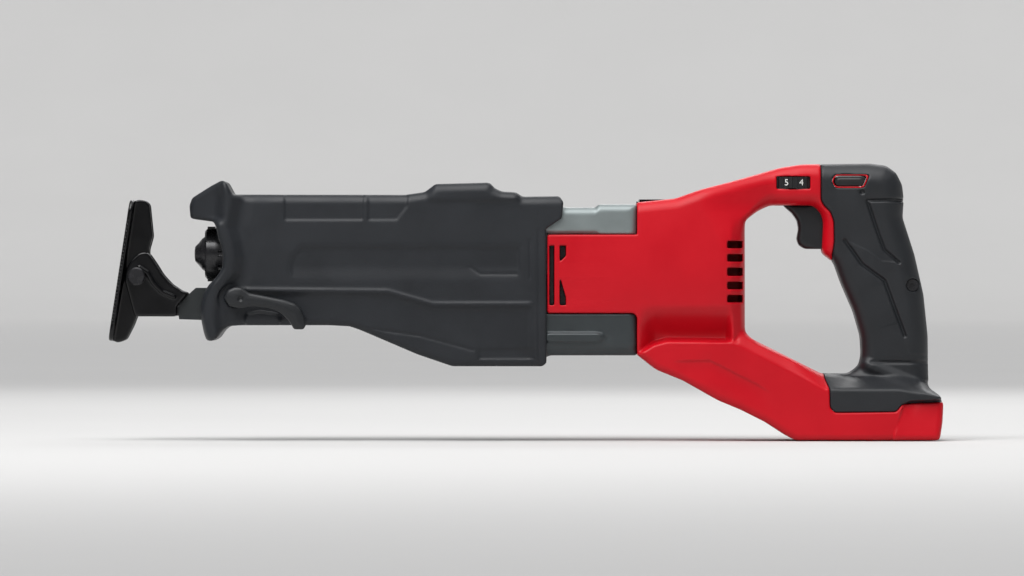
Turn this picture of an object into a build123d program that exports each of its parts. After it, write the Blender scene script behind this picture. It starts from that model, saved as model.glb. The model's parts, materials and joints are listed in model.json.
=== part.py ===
from build123d import *
from math import cos, pi, sin, tan, acos, radians
import os

# Cordless reciprocating saw with a D handle, without battery and blade.
# Millimetres. The origin is on the spindle axis at the mouth of the blade clamp.
# -X is the blade end, +X the handle, +Z up and -Y the left side of the tool.

os.makedirs("parts", exist_ok=True)

# ---- driving dimensions ----
SPINDLE_R = 8.0
SPINDLE_FRONT_X = 12.0
SPINDLE_REAR_X = 170.0
RUNNING_FIT = 0.05          # radial clearance of a running fit
CLEAR = 0.3                 # gap between parts of different bodies

WOBBLE_X = 158.0            # centre of the wobble drive
WOBBLE_Z = -37.0
GEAR_MODULE = 0.8
GEAR_TEETH = 44
PINION_TEETH = 12
PRESSURE_ANGLE = radians(25)
GEAR_X = (177.0, 185.0)
MOTOR_Z = WOBBLE_Z + GEAR_MODULE * (GEAR_TEETH + PINION_TEETH) / 2

CASE_FRONT_X = 42.0
BOOT_REAR_X = 203.0
CASE_REAR_X = 255.0
CASE_SPLIT_Z = -12.0
CASE_HALF_WIDTH = (27.5, 36.0)      # at the front and from the boot's rear edge on
CASE_TOP_Z = 28.4
CASE_BOTTOM_Z = -58.3
BOOT_WALL = 3.2

BARREL_HALF_WIDTH = 38.0
GRIP_HALF_WIDTH = 17.0
FOOT_HALF_WIDTH = 38.0
FOOT_Z = -107.0
SHELL_WALL = 4.4
SKIN = 2.0                  # thickness of the soft overmold

POST_Z = (-35.6, -30.0)     # the flat bar that carries the shoe
POST_HALF_WIDTH = 9.0
SHOE_PIVOT = (-33.0, -12.9)
SHOE_TILT = 8.7             # lean of the shoe at rest, degrees
LEVER_PIVOT = (23.4, -25.7)

DIAL_CENTRE = (345.0, 41.0)
DIAL_R = 17.6
GRIP_SCREW = (413.8, -18.0)
HOOK_AXIS = (41.8, 27.5)            # Y and Z of the rafter hook's hinge, which runs along X
HOOK_SCREW = (265.0, 20.0)
HOOK_PLATE_Z = (29.2, 31.4)
HOOK_SCREW_HEAD_R = 3.2
SCREW_TIP_Y = -8.0          # the housing screws end this far into the left half
HOUSING_SCREWS = [(270.0, 23.0), (315.0, 34.5), (282.0, -61.0), (338.0, -84.0)]


# ---- helpers: each one adds to the part that is being built ----
def side_prism(points, y_low, y_high, mode=Mode.ADD, inset=0.0):
    """A polygon in the side view (X, Z), extruded across the tool."""
    with BuildSketch(Plane.XZ.offset(-y_low)) as side:
        with BuildLine():
            Polyline(*points, close=True)
        make_face()
        if inset:
            offset(amount=-inset, kind=Kind.INTERSECTION)
    extrude(side.sketch, amount=y_low - y_high, mode=mode)


def plan_prism(points, z_low, z_high, mode=Mode.ADD):
    """A polygon in the top view (X, Y), extruded upwards."""
    with BuildSketch(Plane.XY.offset(z_low)) as plan:
        with BuildLine():
            Polyline(*points, close=True)
        make_face()
    extrude(plan.sketch, amount=z_high - z_low, mode=mode)


def both_sides(points):
    """Close a half plan, given for +Y, with its mirror image."""
    return points + [(x, -y) for x, y in reversed(points)]


def rod_x(x_low, x_high, radius, y=0.0, z=0.0, mode=Mode.ADD):
    with BuildSketch(Plane.YZ.offset(x_low)) as end:
        with Locations((y, z)):
            Circle(radius)
    extrude(end.sketch, amount=x_high - x_low, mode=mode)


def rod_y(centre, y_low, y_high, radius, mode=Mode.ADD):
    with BuildSketch(Plane.XZ.offset(-y_low)) as end:
        with Locations(centre):
            Circle(radius)
    extrude(end.sketch, amount=y_low - y_high, mode=mode)


def rod_z(centre, z_low, z_high, radius, mode=Mode.ADD):
    with BuildSketch(Plane.XY.offset(z_low)) as end:
        with Locations(centre):
            Circle(radius)
    extrude(end.sketch, amount=z_high - z_low, mode=mode)


def block(x, y, z, mode=Mode.ADD):
    """A box between the limits x, y and z."""
    centre = [(low + high) / 2 for low, high in (x, y, z)]
    with Locations(tuple(centre)):
        Box(x[1] - x[0], y[1] - y[0], z[1] - z[0], mode=mode)


def turned_x(profile, z=0.0, mode=Mode.ADD):
    """A profile of (x, radius) points turned about an axis along X at height z."""
    with BuildSketch(Plane.XZ) as half:
        with BuildLine():
            Polyline(*[(x, z + radius) for x, radius in profile], close=True)
        make_face()
    revolve(half.sketch, axis=Axis((0, 0, z), (1, 0, 0)), mode=mode)


def keep(piece, label):
    piece.part.label = label
    export_step(piece.part, f"parts/{label}.step")


def bearing(x_low, x_high, bore, outer):
    """A ball bearing drawn as its two rings with a shield between them."""
    shield = (x_high - x_low) * 0.12
    third = (outer - bore) / 3
    return [
        (x_low, bore), (x_low, bore + third), (x_low + shield, bore + third),
        (x_low + shield, outer - third), (x_low, outer - third), (x_low, outer),
        (x_high, outer), (x_high, outer - third), (x_high - shield, outer - third),
        (x_high - shield, bore + third), (x_high, bore + third), (x_high, bore),
    ]


# ---- gearcase ----
CASE_SIDE = [
    (CASE_FRONT_X, CASE_TOP_Z), (CASE_REAR_X, CASE_TOP_Z), (CASE_REAR_X, CASE_BOTTOM_Z),
    (205.0, CASE_BOTTOM_Z), (200.0, -61.0), (149.0, -61.0), (129.0, -54.3),
    (97.0, -40.5), (80.0, -37.6), (CASE_FRONT_X, -37.6),
]
CASE_PLAN = both_sides([
    (CASE_FRONT_X, CASE_HALF_WIDTH[0]), (BOOT_REAR_X, CASE_HALF_WIDTH[1]),
    (CASE_REAR_X, CASE_HALF_WIDTH[1]),
])
TONGUE_Z = (-34.0, 11.0)
FRONT_BUSHING_X = (50.0, 70.0)
REAR_BUSHING_X = (106.0, 126.0)
BUSHING_R = 12.0
WOBBLE_FRONT_BEARING_X = (128.0, 134.0)
WOBBLE_REAR_BEARING_X = (189.0, 195.0)
MOTOR_FRONT_BEARING_X = (191.0, 198.0)
BELL_R = 29.5
CASE_SCREWS = [(95.0, 23.5), (95.0, -23.5), (160.0, 30.2), (160.0, -30.2)]

with BuildPart() as case_block:
    side_prism(CASE_SIDE, -40, 40)
    plan_prism(CASE_PLAN, -70, 40, mode=Mode.INTERSECT)
    # The tongues of the housing lie in pockets on both sides.
    for y_low, y_high in ((33.3, 40.0), (-40.0, -33.3)):
        block((BOOT_REAR_X - 1, CASE_REAR_X + 1), (y_low, y_high), (TONGUE_Z[0] - 0.3, TONGUE_Z[1] + 0.3),
              mode=Mode.SUBTRACT)
    # Channel for the shoe post and its guide under the spindle.
    block((CASE_FRONT_X - 1, 62), (-16.2, 16.2), (-41, -19.3), mode=Mode.SUBTRACT)
    block((60, 100), (-POST_HALF_WIDTH - 0.5, POST_HALF_WIDTH + 0.5), (POST_Z[0] - 0.5, POST_Z[1] + 0.5),
          mode=Mode.SUBTRACT)
    # Spindle bore, its bushings and the seal.
    rod_x(CASE_FRONT_X - 1, 189, SPINDLE_R + 0.6, mode=Mode.SUBTRACT)
    rod_x(CASE_FRONT_X - 1, 48, BUSHING_R, mode=Mode.SUBTRACT)
    rod_x(*FRONT_BUSHING_X, BUSHING_R, mode=Mode.SUBTRACT)
    rod_x(*REAR_BUSHING_X, BUSHING_R, mode=Mode.SUBTRACT)
    # Hollow between the bushings, and the chamber of the wobble drive.
    block((74, 103), (-17, 17), (-20, 20), mode=Mode.SUBTRACT)
    side_prism([(134.5, 22), (189, 22), (189, -58.4), (150, -58.4), (134.5, -52.5)], -27, 27,
               mode=Mode.SUBTRACT)
    # Bearing seats and the motor bell.
    rod_x(WOBBLE_FRONT_BEARING_X[0], 135, 8.0, z=WOBBLE_Z, mode=Mode.SUBTRACT)
    rod_x(188, WOBBLE_REAR_BEARING_X[1], 8.0, z=WOBBLE_Z, mode=Mode.SUBTRACT)
    rod_x(188, MOTOR_FRONT_BEARING_X[0], 6.5, z=MOTOR_Z, mode=Mode.SUBTRACT)
    rod_x(*MOTOR_FRONT_BEARING_X, 11.0, z=MOTOR_Z, mode=Mode.SUBTRACT)
    rod_x(MOTOR_FRONT_BEARING_X[1], CASE_REAR_X + 1, BELL_R, z=MOTOR_Z, mode=Mode.SUBTRACT)
    # Clamping screws of the two halves.
    for x, y in CASE_SCREWS:
        rod_z((x, y), -30, 40, 1.9, mode=Mode.SUBTRACT)
        rod_z((x, y), 24.5, 40, 3.2, mode=Mode.SUBTRACT)
    # Passage of the shoe lock shaft.
    rod_y(LEVER_PIVOT, -40, 40, 4.7, mode=Mode.SUBTRACT)

with BuildPart() as upper_gearcase:
    add(case_block.part)
    split(bisect_by=Plane.XY.offset(CASE_SPLIT_Z), keep=Keep.TOP)
    # A shallow step and a ridge on the part that shows behind the boot.
    block((212, 232), (-40, 40), (26.6, 40), mode=Mode.SUBTRACT)
keep(upper_gearcase, "upper_gearcase")

with BuildPart() as lower_gearcase:
    add(case_block.part)
    split(bisect_by=Plane.XY.offset(CASE_SPLIT_Z), keep=Keep.BOTTOM)
    for side in (-1, 1):
        with Locations((220, side * CASE_HALF_WIDTH[1], -48)):
            Box(34, 1.2, 4.8)
keep(lower_gearcase, "lower_gearcase")

with BuildPart() as gearcase_screws:
    for x, y in CASE_SCREWS:
        rod_z((x, y), -28, 25, 1.8)
        rod_z((x, y), 24.6, 27.6, 3.0)
        rod_z((x, y), 26, 28, 1.3, mode=Mode.SUBTRACT)
keep(gearcase_screws, "gearcase_screws")

# ---- spindle, bushings and seal ----
with BuildPart() as front_bushing:
    turned_x([(50, SPINDLE_R + RUNNING_FIT), (50, BUSHING_R), (70, BUSHING_R), (70, SPINDLE_R + RUNNING_FIT)])
keep(front_bushing, "front_bushing")

with BuildPart() as rear_bushing:
    turned_x([(106, SPINDLE_R + RUNNING_FIT), (106, BUSHING_R), (126, BUSHING_R),
              (126, SPINDLE_R + RUNNING_FIT)])
keep(rear_bushing, "rear_bushing")

with BuildPart() as spindle_seal:
    turned_x([(42.5, SPINDLE_R + CLEAR), (42.5, BUSHING_R), (47.5, BUSHING_R), (47.5, 10.5),
              (44.5, 10.5), (44.5, SPINDLE_R + CLEAR)])
keep(spindle_seal, "spindle_seal")

BALL_R = 5.0
BALL_SEAT_R = 5.3
with BuildPart() as spindle:
    turned_x([(SPINDLE_FRONT_X, 0), (SPINDLE_FRONT_X, SPINDLE_R - 0.8), (SPINDLE_FRONT_X + 0.8, SPINDLE_R),
              (SPINDLE_REAR_X - 0.8, SPINDLE_R), (SPINDLE_REAR_X, SPINDLE_R - 0.8), (SPINDLE_REAR_X, 0)])
    # Cross bore for the wobble ball, and a slot for the swing of its neck.
    rod_z((WOBBLE_X, 0), -SPINDLE_R - 1, 6, BALL_SEAT_R, mode=Mode.SUBTRACT)
    block((WOBBLE_X - 8, WOBBLE_X + 8), (-3.8, 3.8), (-SPINDLE_R - 1, -2.5), mode=Mode.SUBTRACT)
    # Blade pocket in the front end.
    block((SPINDLE_FRONT_X - 1, 26), (-1.3, 1.3), (-6.8, 6.8), mode=Mode.SUBTRACT)
    # Seat of the locking pin.
    rod_y((19, 0), -9, 0, 2.1, mode=Mode.SUBTRACT)
keep(spindle, "spindle")

# ---- blade clamp ----
CLAMP_BODY = [
    (0, 2.0), (0.4, 4.4), (2.5, 6.6), (4.5, 9.0), (6.6, 10.4), (15.5, 10.4), (15.5, 9.0),
    (23.2, 9.0), (23.2, 10.4), (25.4, 10.4), (25.4, SPINDLE_R), (SPINDLE_FRONT_X, SPINDLE_R),
    (SPINDLE_FRONT_X, 2.0),
]
with BuildPart() as blade_clamp:
    turned_x(CLAMP_BODY)
    block((-1, SPINDLE_FRONT_X + 1), (-1.3, 1.3), (-7.4, 7.4), mode=Mode.SUBTRACT)
    rod_y((19, 0), -12, 0, 2.1, mode=Mode.SUBTRACT)
keep(blade_clamp, "blade_clamp")

with BuildPart() as clamp_pin:
    rod_y((19, 0), -8.6, -1.4, 2.0)
keep(clamp_pin, "clamp_pin")

with BuildPart() as clamp_spring:
    for turn in range(4):
        with Locations(Plane.YZ.offset(16.6 + 1.2 * turn)):
            Torus(9.75, 0.5)
    block((16.4, 20.4), (-0.4, 0.4), (9.35, 10.15))
keep(clamp_spring, "clamp_spring")

with BuildPart() as clamp_collar:
    turned_x([(6.9, 10.7), (6.2, 13.4), (7.2, 14.4), (12.5, 15.0), (13.6, 15.0), (23.2, 14.6),
              (24.2, 13.6), (24.2, 10.7)])
    # Finger ribs round the sleeve.
    with BuildSketch(Plane.YZ.offset(14)) as flutes:
        with PolarLocations(16.0, 12):
            Circle(2.0)
    extrude(flutes.sketch, amount=12, mode=Mode.SUBTRACT)
    # Two release ears that the user pushes round.
    for side in (-1, 1):
        with Locations((9.8, 0, side * 14.6)):
            Box(4.4, 6.0, 2.4)
keep(clamp_collar, "clamp_collar")


# ---- gears ----
def gear_outline(teeth, module, backlash):
    """Flank points of an external involute gear, one tooth centred on +Z."""
    pitch_r = teeth * module / 2
    base_r = pitch_r * cos(PRESSURE_ANGLE)
    root_r = pitch_r - 1.2 * module
    tip_r = pitch_r + 0.95 * module
    points = []

    def half_angle(radius):
        slope = acos(min(1.0, base_r / radius))
        shift = (tan(PRESSURE_ANGLE) - PRESSURE_ANGLE) - (tan(slope) - slope)
        return pi / (2 * teeth) - backlash / pitch_r + shift

    start_r = max(base_r, root_r)
    radii = [start_r + (tip_r - start_r) * step / 4 for step in range(5)]
    for tooth in range(teeth):
        middle = 2 * pi * tooth / teeth
        flank = [(radius, half_angle(radius)) for radius in radii]
        if root_r < start_r:
            flank.insert(0, (root_r, flank[0][1]))
        for radius, angle in flank:
            points.append((radius * sin(middle - angle), radius * cos(middle - angle)))
        for radius, angle in reversed(flank):
            points.append((radius * sin(middle + angle), radius * cos(middle + angle)))
    return points


def gear_blank(teeth, x, z, bore, turn):
    """A spur gear about an axis along X, turned by a share of its tooth pitch."""
    angle = 2 * pi / teeth * turn
    outline = [
        (y * cos(angle) + h * sin(angle), z + h * cos(angle) - y * sin(angle))
        for y, h in gear_outline(teeth, GEAR_MODULE, 0.08)
    ]
    with BuildSketch(Plane.YZ.offset(x[0])) as face:
        with BuildLine():
            Polyline(*outline, close=True)
        make_face()
        with Locations((0, z)):
            Circle(bore, mode=Mode.SUBTRACT)
    extrude(face.sketch, amount=x[1] - x[0])


# ---- wobble drive ----
SHAFT_R = 4.0
RACE_TILT = 24.9            # the ball race leans this much from square to the shaft
RING_BORE_R = 16.0
RING_R = 19.0
with BuildPart() as drive_gear:
    gear_blank(GEAR_TEETH, GEAR_X, WOBBLE_Z, SHAFT_R, 0.5)
    with BuildSketch(Plane.YZ.offset(GEAR_X[0])) as windows:
        with Locations((0, WOBBLE_Z)):
            with PolarLocations(11, 6):
                Circle(2.6)
    extrude(windows.sketch, amount=GEAR_X[1] - GEAR_X[0], mode=Mode.SUBTRACT)
keep(drive_gear, "drive_gear")

with BuildPart() as wobble_shaft:
    rod_x(WOBBLE_FRONT_BEARING_X[0], WOBBLE_REAR_BEARING_X[1], SHAFT_R, z=WOBBLE_Z)
keep(wobble_shaft, "wobble_shaft")

race_axis = (cos(radians(RACE_TILT)), sin(radians(RACE_TILT)), 0)
race_plane = Plane(origin=(WOBBLE_X, 0, WOBBLE_Z), x_dir=(0, 0, 1), z_dir=race_axis)
hub_plane = Plane(origin=(WOBBLE_X, 0, WOBBLE_Z), x_dir=race_axis, z_dir=(race_axis[1], -race_axis[0], 0))
with BuildPart() as wobble_hub:
    with BuildSketch(hub_plane) as hub_half:
        with BuildLine():
            Polyline((-9, 0), (-9, 9.2), (-2.8, 12.6), (-2.4, 11.4), (0, 10.7), (2.4, 11.4), (2.8, 12.6),
                     (9, 9.2), (9, 0), close=True)
        make_face()
    revolve(hub_half.sketch, axis=Axis((WOBBLE_X, 0, WOBBLE_Z), race_axis))
    rod_x(WOBBLE_X - 20, WOBBLE_X + 20, SHAFT_R, z=WOBBLE_Z, mode=Mode.SUBTRACT)
keep(wobble_hub, "wobble_hub")

with BuildPart() as wobble_balls:
    with Locations(race_plane):
        with PolarLocations(13.2, 16):
            Sphere(2.35)
keep(wobble_balls, "wobble_balls")

with BuildPart() as counterweight:
    with BuildSketch(Plane.YZ.offset(138)) as lobe:
        with Locations((0, WOBBLE_Z)):
            Circle(14)
            Rectangle(30, 15, align=(Align.CENTER, Align.MIN), mode=Mode.SUBTRACT)
            Circle(8)
            Circle(SHAFT_R, mode=Mode.SUBTRACT)
    extrude(lobe.sketch, amount=6)
keep(counterweight, "counterweight")

with BuildPart() as wobble_ring:
    turned_x([(WOBBLE_X - 5, 12), (WOBBLE_X - 5, RING_R - 0.8), (WOBBLE_X - 4.2, RING_R),
              (WOBBLE_X + 4.2, RING_R), (WOBBLE_X + 5, RING_R - 0.8), (WOBBLE_X + 5, 12)], z=WOBBLE_Z)
    with Locations((WOBBLE_X, 0, WOBBLE_Z)):
        Sphere(RING_BORE_R, mode=Mode.SUBTRACT)
    with BuildSketch(Plane.XZ) as arm:
        with BuildLine():
            Polyline((WOBBLE_X, -19.5), (WOBBLE_X + 4.6, -19.5), (WOBBLE_X + 3, -8), (WOBBLE_X + 3, 0),
                     (WOBBLE_X, 0), close=True)
        make_face()
    revolve(arm.sketch, axis=Axis((WOBBLE_X, 0, 0), (0, 0, 1)))
    with Locations((WOBBLE_X, 0, 0)):
        Sphere(BALL_R)
keep(wobble_ring, "wobble_ring")

with BuildPart() as wobble_front_bearing:
    turned_x(bearing(*WOBBLE_FRONT_BEARING_X, SHAFT_R + RUNNING_FIT, 8.0), z=WOBBLE_Z)
keep(wobble_front_bearing, "wobble_front_bearing")

with BuildPart() as wobble_rear_bearing:
    turned_x(bearing(*WOBBLE_REAR_BEARING_X, SHAFT_R + RUNNING_FIT, 8.0), z=WOBBLE_Z)
keep(wobble_rear_bearing, "wobble_rear_bearing")

# ---- motor ----
ROTOR_SHAFT_R = 3.5
STATOR_R = 27.0
STATOR_X = (218.0, 258.0)
with BuildPart() as pinion:
    gear_blank(PINION_TEETH, (176.5, 186.0), MOTOR_Z, 2.5, 0.0 if PINION_TEETH % 2 == 0 else 0.5)
keep(pinion, "pinion")

with BuildPart() as rotor_shaft:
    turned_x([(176.5, 0), (176.5, 2.5), (186.2, 2.5), (186.2, ROTOR_SHAFT_R), (283, ROTOR_SHAFT_R), (283, 0)],
             z=MOTOR_Z)
keep(rotor_shaft, "rotor_shaft")

with BuildPart() as rotor_core:
    turned_x([(216, ROTOR_SHAFT_R), (216, 12.5), (217, 13.5), (261, 13.5), (262, 12.5), (262, ROTOR_SHAFT_R)],
             z=MOTOR_Z)
keep(rotor_core, "rotor_core")

with BuildPart() as cooling_fan:
    turned_x([(202, ROTOR_SHAFT_R), (202, 7), (204.2, 26), (205.4, 26), (206, 8), (210, 7),
              (210, ROTOR_SHAFT_R)], z=MOTOR_Z)
    with BuildSketch(Plane.YZ.offset(204.5)) as blades:
        with Locations((0, MOTOR_Z)):
            with PolarLocations(17, 18):
                Rectangle(17, 1.2)
    extrude(blades.sketch, amount=6)
keep(cooling_fan, "cooling_fan")

with BuildPart() as motor_front_bearing:
    turned_x(bearing(*MOTOR_FRONT_BEARING_X, ROTOR_SHAFT_R + RUNNING_FIT, 11.0), z=MOTOR_Z)
keep(motor_front_bearing, "motor_front_bearing")

REAR_BEARING_X = (276.0, 282.0)
with BuildPart() as motor_rear_bearing:
    turned_x(bearing(*REAR_BEARING_X, ROTOR_SHAFT_R + RUNNING_FIT, 9.5), z=MOTOR_Z)
keep(motor_rear_bearing, "motor_rear_bearing")

with BuildPart() as stator_core:
    with BuildSketch(Plane.YZ.offset(STATOR_X[0])) as lamination:
        with Locations((0, MOTOR_Z)):
            Circle(STATOR_R)
            Circle(22.5, mode=Mode.SUBTRACT)
            with PolarLocations(18.5, 6, start_angle=30):
                Rectangle(9.0, 7.0)
            with PolarLocations(15.4, 6, start_angle=30):
                Rectangle(1.6, 11.0)
            Circle(14.3, mode=Mode.SUBTRACT)
    extrude(lamination.sketch, amount=STATOR_X[1] - STATOR_X[0])
keep(stator_core, "stator_core")

with BuildPart() as windings:
    for pole in range(6):
        tooth_axis = (0, sin(pi * pole / 3), cos(pi * pole / 3))
        tooth_frame = Plane((0, 0, MOTOR_Z), x_dir=(1, 0, 0), z_dir=tooth_axis)
        with BuildSketch(tooth_frame.offset(16.6)) as coil:
            with Locations(((STATOR_X[0] + STATOR_X[1]) / 2, 0)):
                RectangleRounded(50, 13.0, 3)
                Rectangle(41, 7.6, mode=Mode.SUBTRACT)
        extrude(coil.sketch, amount=4.5)
keep(windings, "windings")

with BuildPart() as motor_board:
    rod_x(266.5, 268.2, 26, z=MOTOR_Z)
    for position in range(6):
        angle = pi * position / 3
        with Locations((269.4, 17.5 * sin(angle), MOTOR_Z + 17.5 * cos(angle))):
            Box(2.6, 6, 6)
    rod_x(266, 271, 8, z=MOTOR_Z, mode=Mode.SUBTRACT)
keep(motor_board, "motor_board")

with BuildPart() as motor_end_plate:
    turned_x([(272.5, 12), (272.5, 29.3), (283, 29.3), (283, 26.5), (275.5, 26.5), (275.5, 13),
              (283, 13), (283, 9.5), (275.5, 9.5), (275.5, 6), (272.5, 6)], z=MOTOR_Z)
keep(motor_end_plate, "motor_end_plate")

# ---- housing with the D handle ----
HANDLE_SIDE = [
    (CASE_REAR_X + 0.3, 29.5), (277, 31.8), (291.4, 36.9), (309.4, 41.6), (337.7, 49.7), (350, 51.6),
    (389.4, 52.2), (398.8, 51.0), (404.7, 46.8), (408.2, 39.8), (409.1, 31.5), (408.4, 20.9),
    (415.2, -0.2), (420.5, -23.7), (422.9, -47.1), (423.2, -77.0), (428.7, -81.2), (430.8, -85.9),
    (430.2, -96.5), (428.5, FOOT_Z), (346, FOOT_Z), (341.2, -104.7), (329.5, -97.1), (314.2, -89.4),
    (301.2, -84), (281.2, -72.7), (265.9, -66.5), (CASE_REAR_X + 0.3, -57.8),
]
OPENING_SIDE = [
    (317, 19), (324.3, 24.5), (331.8, 28), (356.5, 28), (361, 23.5), (362.4, 18.6), (361.6, 0.4),
    (365.9, -2.5), (368.8, -4.9), (372.9, -16.6), (380, -33), (384.1, -47.1), (384.7, -57.7),
    (383.5, -64.2), (377.6, -68.9), (361.2, -68.9), (321.2, -48.9), (317, -45),
]
UPPER_PLAN = [
    (200, BARREL_HALF_WIDTH), (292, BARREL_HALF_WIDTH), (312, 30), (332, GRIP_HALF_WIDTH),
    (440, GRIP_HALF_WIDTH),
]
LOWER_PLAN = [
    (200, BARREL_HALF_WIDTH), (292, BARREL_HALF_WIDTH), (312, 34), (335, 34),
    (350, FOOT_HALF_WIDTH), (440, FOOT_HALF_WIDTH),
]
ARM_TOP_Z = -46.0
FOOT_TOP_Z = -69.0
SKIN_SIDE = [
    (361, 60), (361, 27), (368, 18.6), (368.2, 6.8), (365, -2.5), (362.5, -60), (362.5, -72),
    (365.3, -77.7), (366, -86), (369.4, -90.6), (402.3, -90.6), (408.2, -86), (440, -84.6), (440, 60),
]


def handle_volume(inset):
    """The handle and barrel with every wall moved inwards by inset."""
    upper_plan = both_sides([(x, y - inset) for x, y in UPPER_PLAN])
    lower_plan = both_sides([(x, y - inset) for x, y in LOWER_PLAN])
    arm_line = [(200, ARM_TOP_Z), (317, ARM_TOP_Z), (363, FOOT_TOP_Z - inset), (440, FOOT_TOP_Z - inset)]
    with BuildPart() as upper:
        side_prism(HANDLE_SIDE, -50, 50, inset=inset)
        side_prism(OPENING_SIDE, -60, 60, mode=Mode.SUBTRACT, inset=-inset)
        plan_prism(upper_plan, -120, 60, mode=Mode.INTERSECT)
    with BuildPart() as lower:
        side_prism(HANDLE_SIDE, -50, 50, inset=inset)
        side_prism(OPENING_SIDE, -60, 60, mode=Mode.SUBTRACT, inset=-inset)
        plan_prism(lower_plan, -120, 60, mode=Mode.INTERSECT)
        side_prism(arm_line + [(440, -120), (200, -120)], -60, 60, mode=Mode.INTERSECT)
    with BuildPart() as volume:
        add(upper.part)
        add(lower.part)
    return volume.part


outer_volume = handle_volume(0)
under_skin = handle_volume(SKIN)
hollow_volume = handle_volume(SHELL_WALL)

LOCK_X = (367.5, 388.0)
LOCK_Z = (38.5, 45.3)
BAY_X = (352.0, 440.0)
BAY_Z = -93.0
BAY_HALF_WIDTH = 30.0
FRONT_VENTS = [(204.9, 207.5, -29.5, 4.7), (210.5, 214.1, -4.1, 4.7), (210.5, 214.1, -29.5, -14.8)]
REAR_VENTS_Z = [(3.1, 7.4), (-4.5, -0.2), (-12.7, -7.9), (-20.3, -16.0), (-27.9, -23.6)]


def width_at(x):
    """Half width of the upper handle at x."""
    for (x_low, y_low), (x_high, y_high) in zip(UPPER_PLAN, UPPER_PLAN[1:]):
        if x_low <= x <= x_high:
            return y_low + (y_high - y_low) * (x - x_low) / (x_high - x_low)
    return GRIP_HALF_WIDTH


def screw_width(x, z):
    return 34.0 if z < ARM_TOP_Z and x > 312 else width_at(x)


with BuildPart() as skin_recess:
    side_prism(SKIN_SIDE, -60, 60)
    add(under_skin, mode=Mode.SUBTRACT)

with BuildPart() as housing:
    add(outer_volume)
    add(hollow_volume, mode=Mode.SUBTRACT)
    # Tongues over the gearcase.
    for side in (-1, 1):
        y_pair = sorted((side * 33.6, side * BARREL_HALF_WIDTH))
        block((BOOT_REAR_X + 0.3, CASE_REAR_X + 4), y_pair, TONGUE_Z)
    # Bosses of the housing screws and of the grip screw.
    for x, z in HOUSING_SCREWS:
        rod_y((x, z), 2 - screw_width(x, z), screw_width(x, z) - 2, 4.8)
    rod_y(GRIP_SCREW, -13, 13, 4.5)
    # The soft skin lies in a recess of its own thickness.
    add(skin_recess.part, mode=Mode.SUBTRACT)
    # Open front face towards the gearcase and the motor.
    rod_x(CASE_REAR_X - 1, CASE_REAR_X + 10, BELL_R, z=MOTOR_Z, mode=Mode.SUBTRACT)
    # Battery bay, open below and at the rear.
    block((BAY_X[0], BAY_X[1]), (-BAY_HALF_WIDTH, BAY_HALF_WIDTH), (FOOT_Z - 1, BAY_Z), mode=Mode.SUBTRACT)
    # Trigger passage, dial window and the bore of the lock button.
    block((335.3, 385), (-8, 8), (2.2, 29.4), mode=Mode.SUBTRACT)
    rod_z(DIAL_CENTRE[:1] + (0,), 37.2, 44.9, DIAL_R + 0.6, mode=Mode.SUBTRACT)
    block((335.3, 354.7), (-20, 20), (37.4, 44.7), mode=Mode.SUBTRACT)
    block(LOCK_X, (-20, 20), LOCK_Z, mode=Mode.SUBTRACT)
    # Seat and screw hole of the rafter hook's bracket.
    block((256.3, 273.7), (-12.2, 45), (HOOK_PLATE_Z[0], 45), mode=Mode.SUBTRACT)
    rod_z(HOOK_SCREW, 20, 40, 1.7, mode=Mode.SUBTRACT)
    # Vents.
    for x_low, x_high, z_low, z_high in FRONT_VENTS:
        block((x_low, x_high), (-40, 40), (z_low, z_high), mode=Mode.SUBTRACT)
    for z_low, z_high in REAR_VENTS_Z:
        block((306.5, 315.6), (-40, 40), (z_low, z_high), mode=Mode.SUBTRACT)
    # Screw holes: clearance on the right, blind on the left.
    for x, z in HOUSING_SCREWS:
        rod_y((x, z), SCREW_TIP_Y - 1, 60, 1.7, mode=Mode.SUBTRACT)
        rod_y((x, z), screw_width(x, z) - 4, 60, 3.4, mode=Mode.SUBTRACT)
    rod_y(GRIP_SCREW, -60, 9, 1.7, mode=Mode.SUBTRACT)
    rod_y(GRIP_SCREW, -60, -12.5, 3.6, mode=Mode.SUBTRACT)

with BuildPart() as left_housing:
    add(housing.part)
    split(bisect_by=Plane.XZ, keep=Keep.TOP)
keep(left_housing, "left_housing")

with BuildPart() as right_housing:
    add(housing.part)
    split(bisect_by=Plane.XZ, keep=Keep.BOTTOM)
keep(right_housing, "right_housing")

with BuildPart() as overmold:
    add(outer_volume)
    side_prism(SKIN_SIDE, -60, 60, mode=Mode.INTERSECT)
    add(under_skin, mode=Mode.SUBTRACT)
    block(LOCK_X, (-20, 20), LOCK_Z, mode=Mode.SUBTRACT)
    block((335.3, 385), (-8, 8), (2.2, 29.4), mode=Mode.SUBTRACT)
    rod_y(GRIP_SCREW, -60, 0, 3.6, mode=Mode.SUBTRACT)

with BuildPart() as left_grip:
    add(overmold.part)
    split(bisect_by=Plane.XZ, keep=Keep.TOP)
keep(left_grip, "left_grip")

with BuildPart() as right_grip:
    add(overmold.part)
    split(bisect_by=Plane.XZ, keep=Keep.BOTTOM)
keep(right_grip, "right_grip")

with BuildPart() as housing_screws:
    for x, z in HOUSING_SCREWS:
        head_y = screw_width(x, z) - 4
        rod_y((x, z), SCREW_TIP_Y, head_y, 1.6)
        rod_y((x, z), head_y, head_y + 2.2, 3.2)
        rod_y((x, z), head_y + 1, head_y + 3, 1.4, mode=Mode.SUBTRACT)
keep(housing_screws, "housing_screws")

with BuildPart() as grip_screw:
    rod_y(GRIP_SCREW, -12.5, 8, 1.6)
    rod_y(GRIP_SCREW, -14.7, -12.5, 3.4)
    rod_y(GRIP_SCREW, -16, -13.7, 1.4, mode=Mode.SUBTRACT)
keep(grip_screw, "grip_screw")

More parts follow.
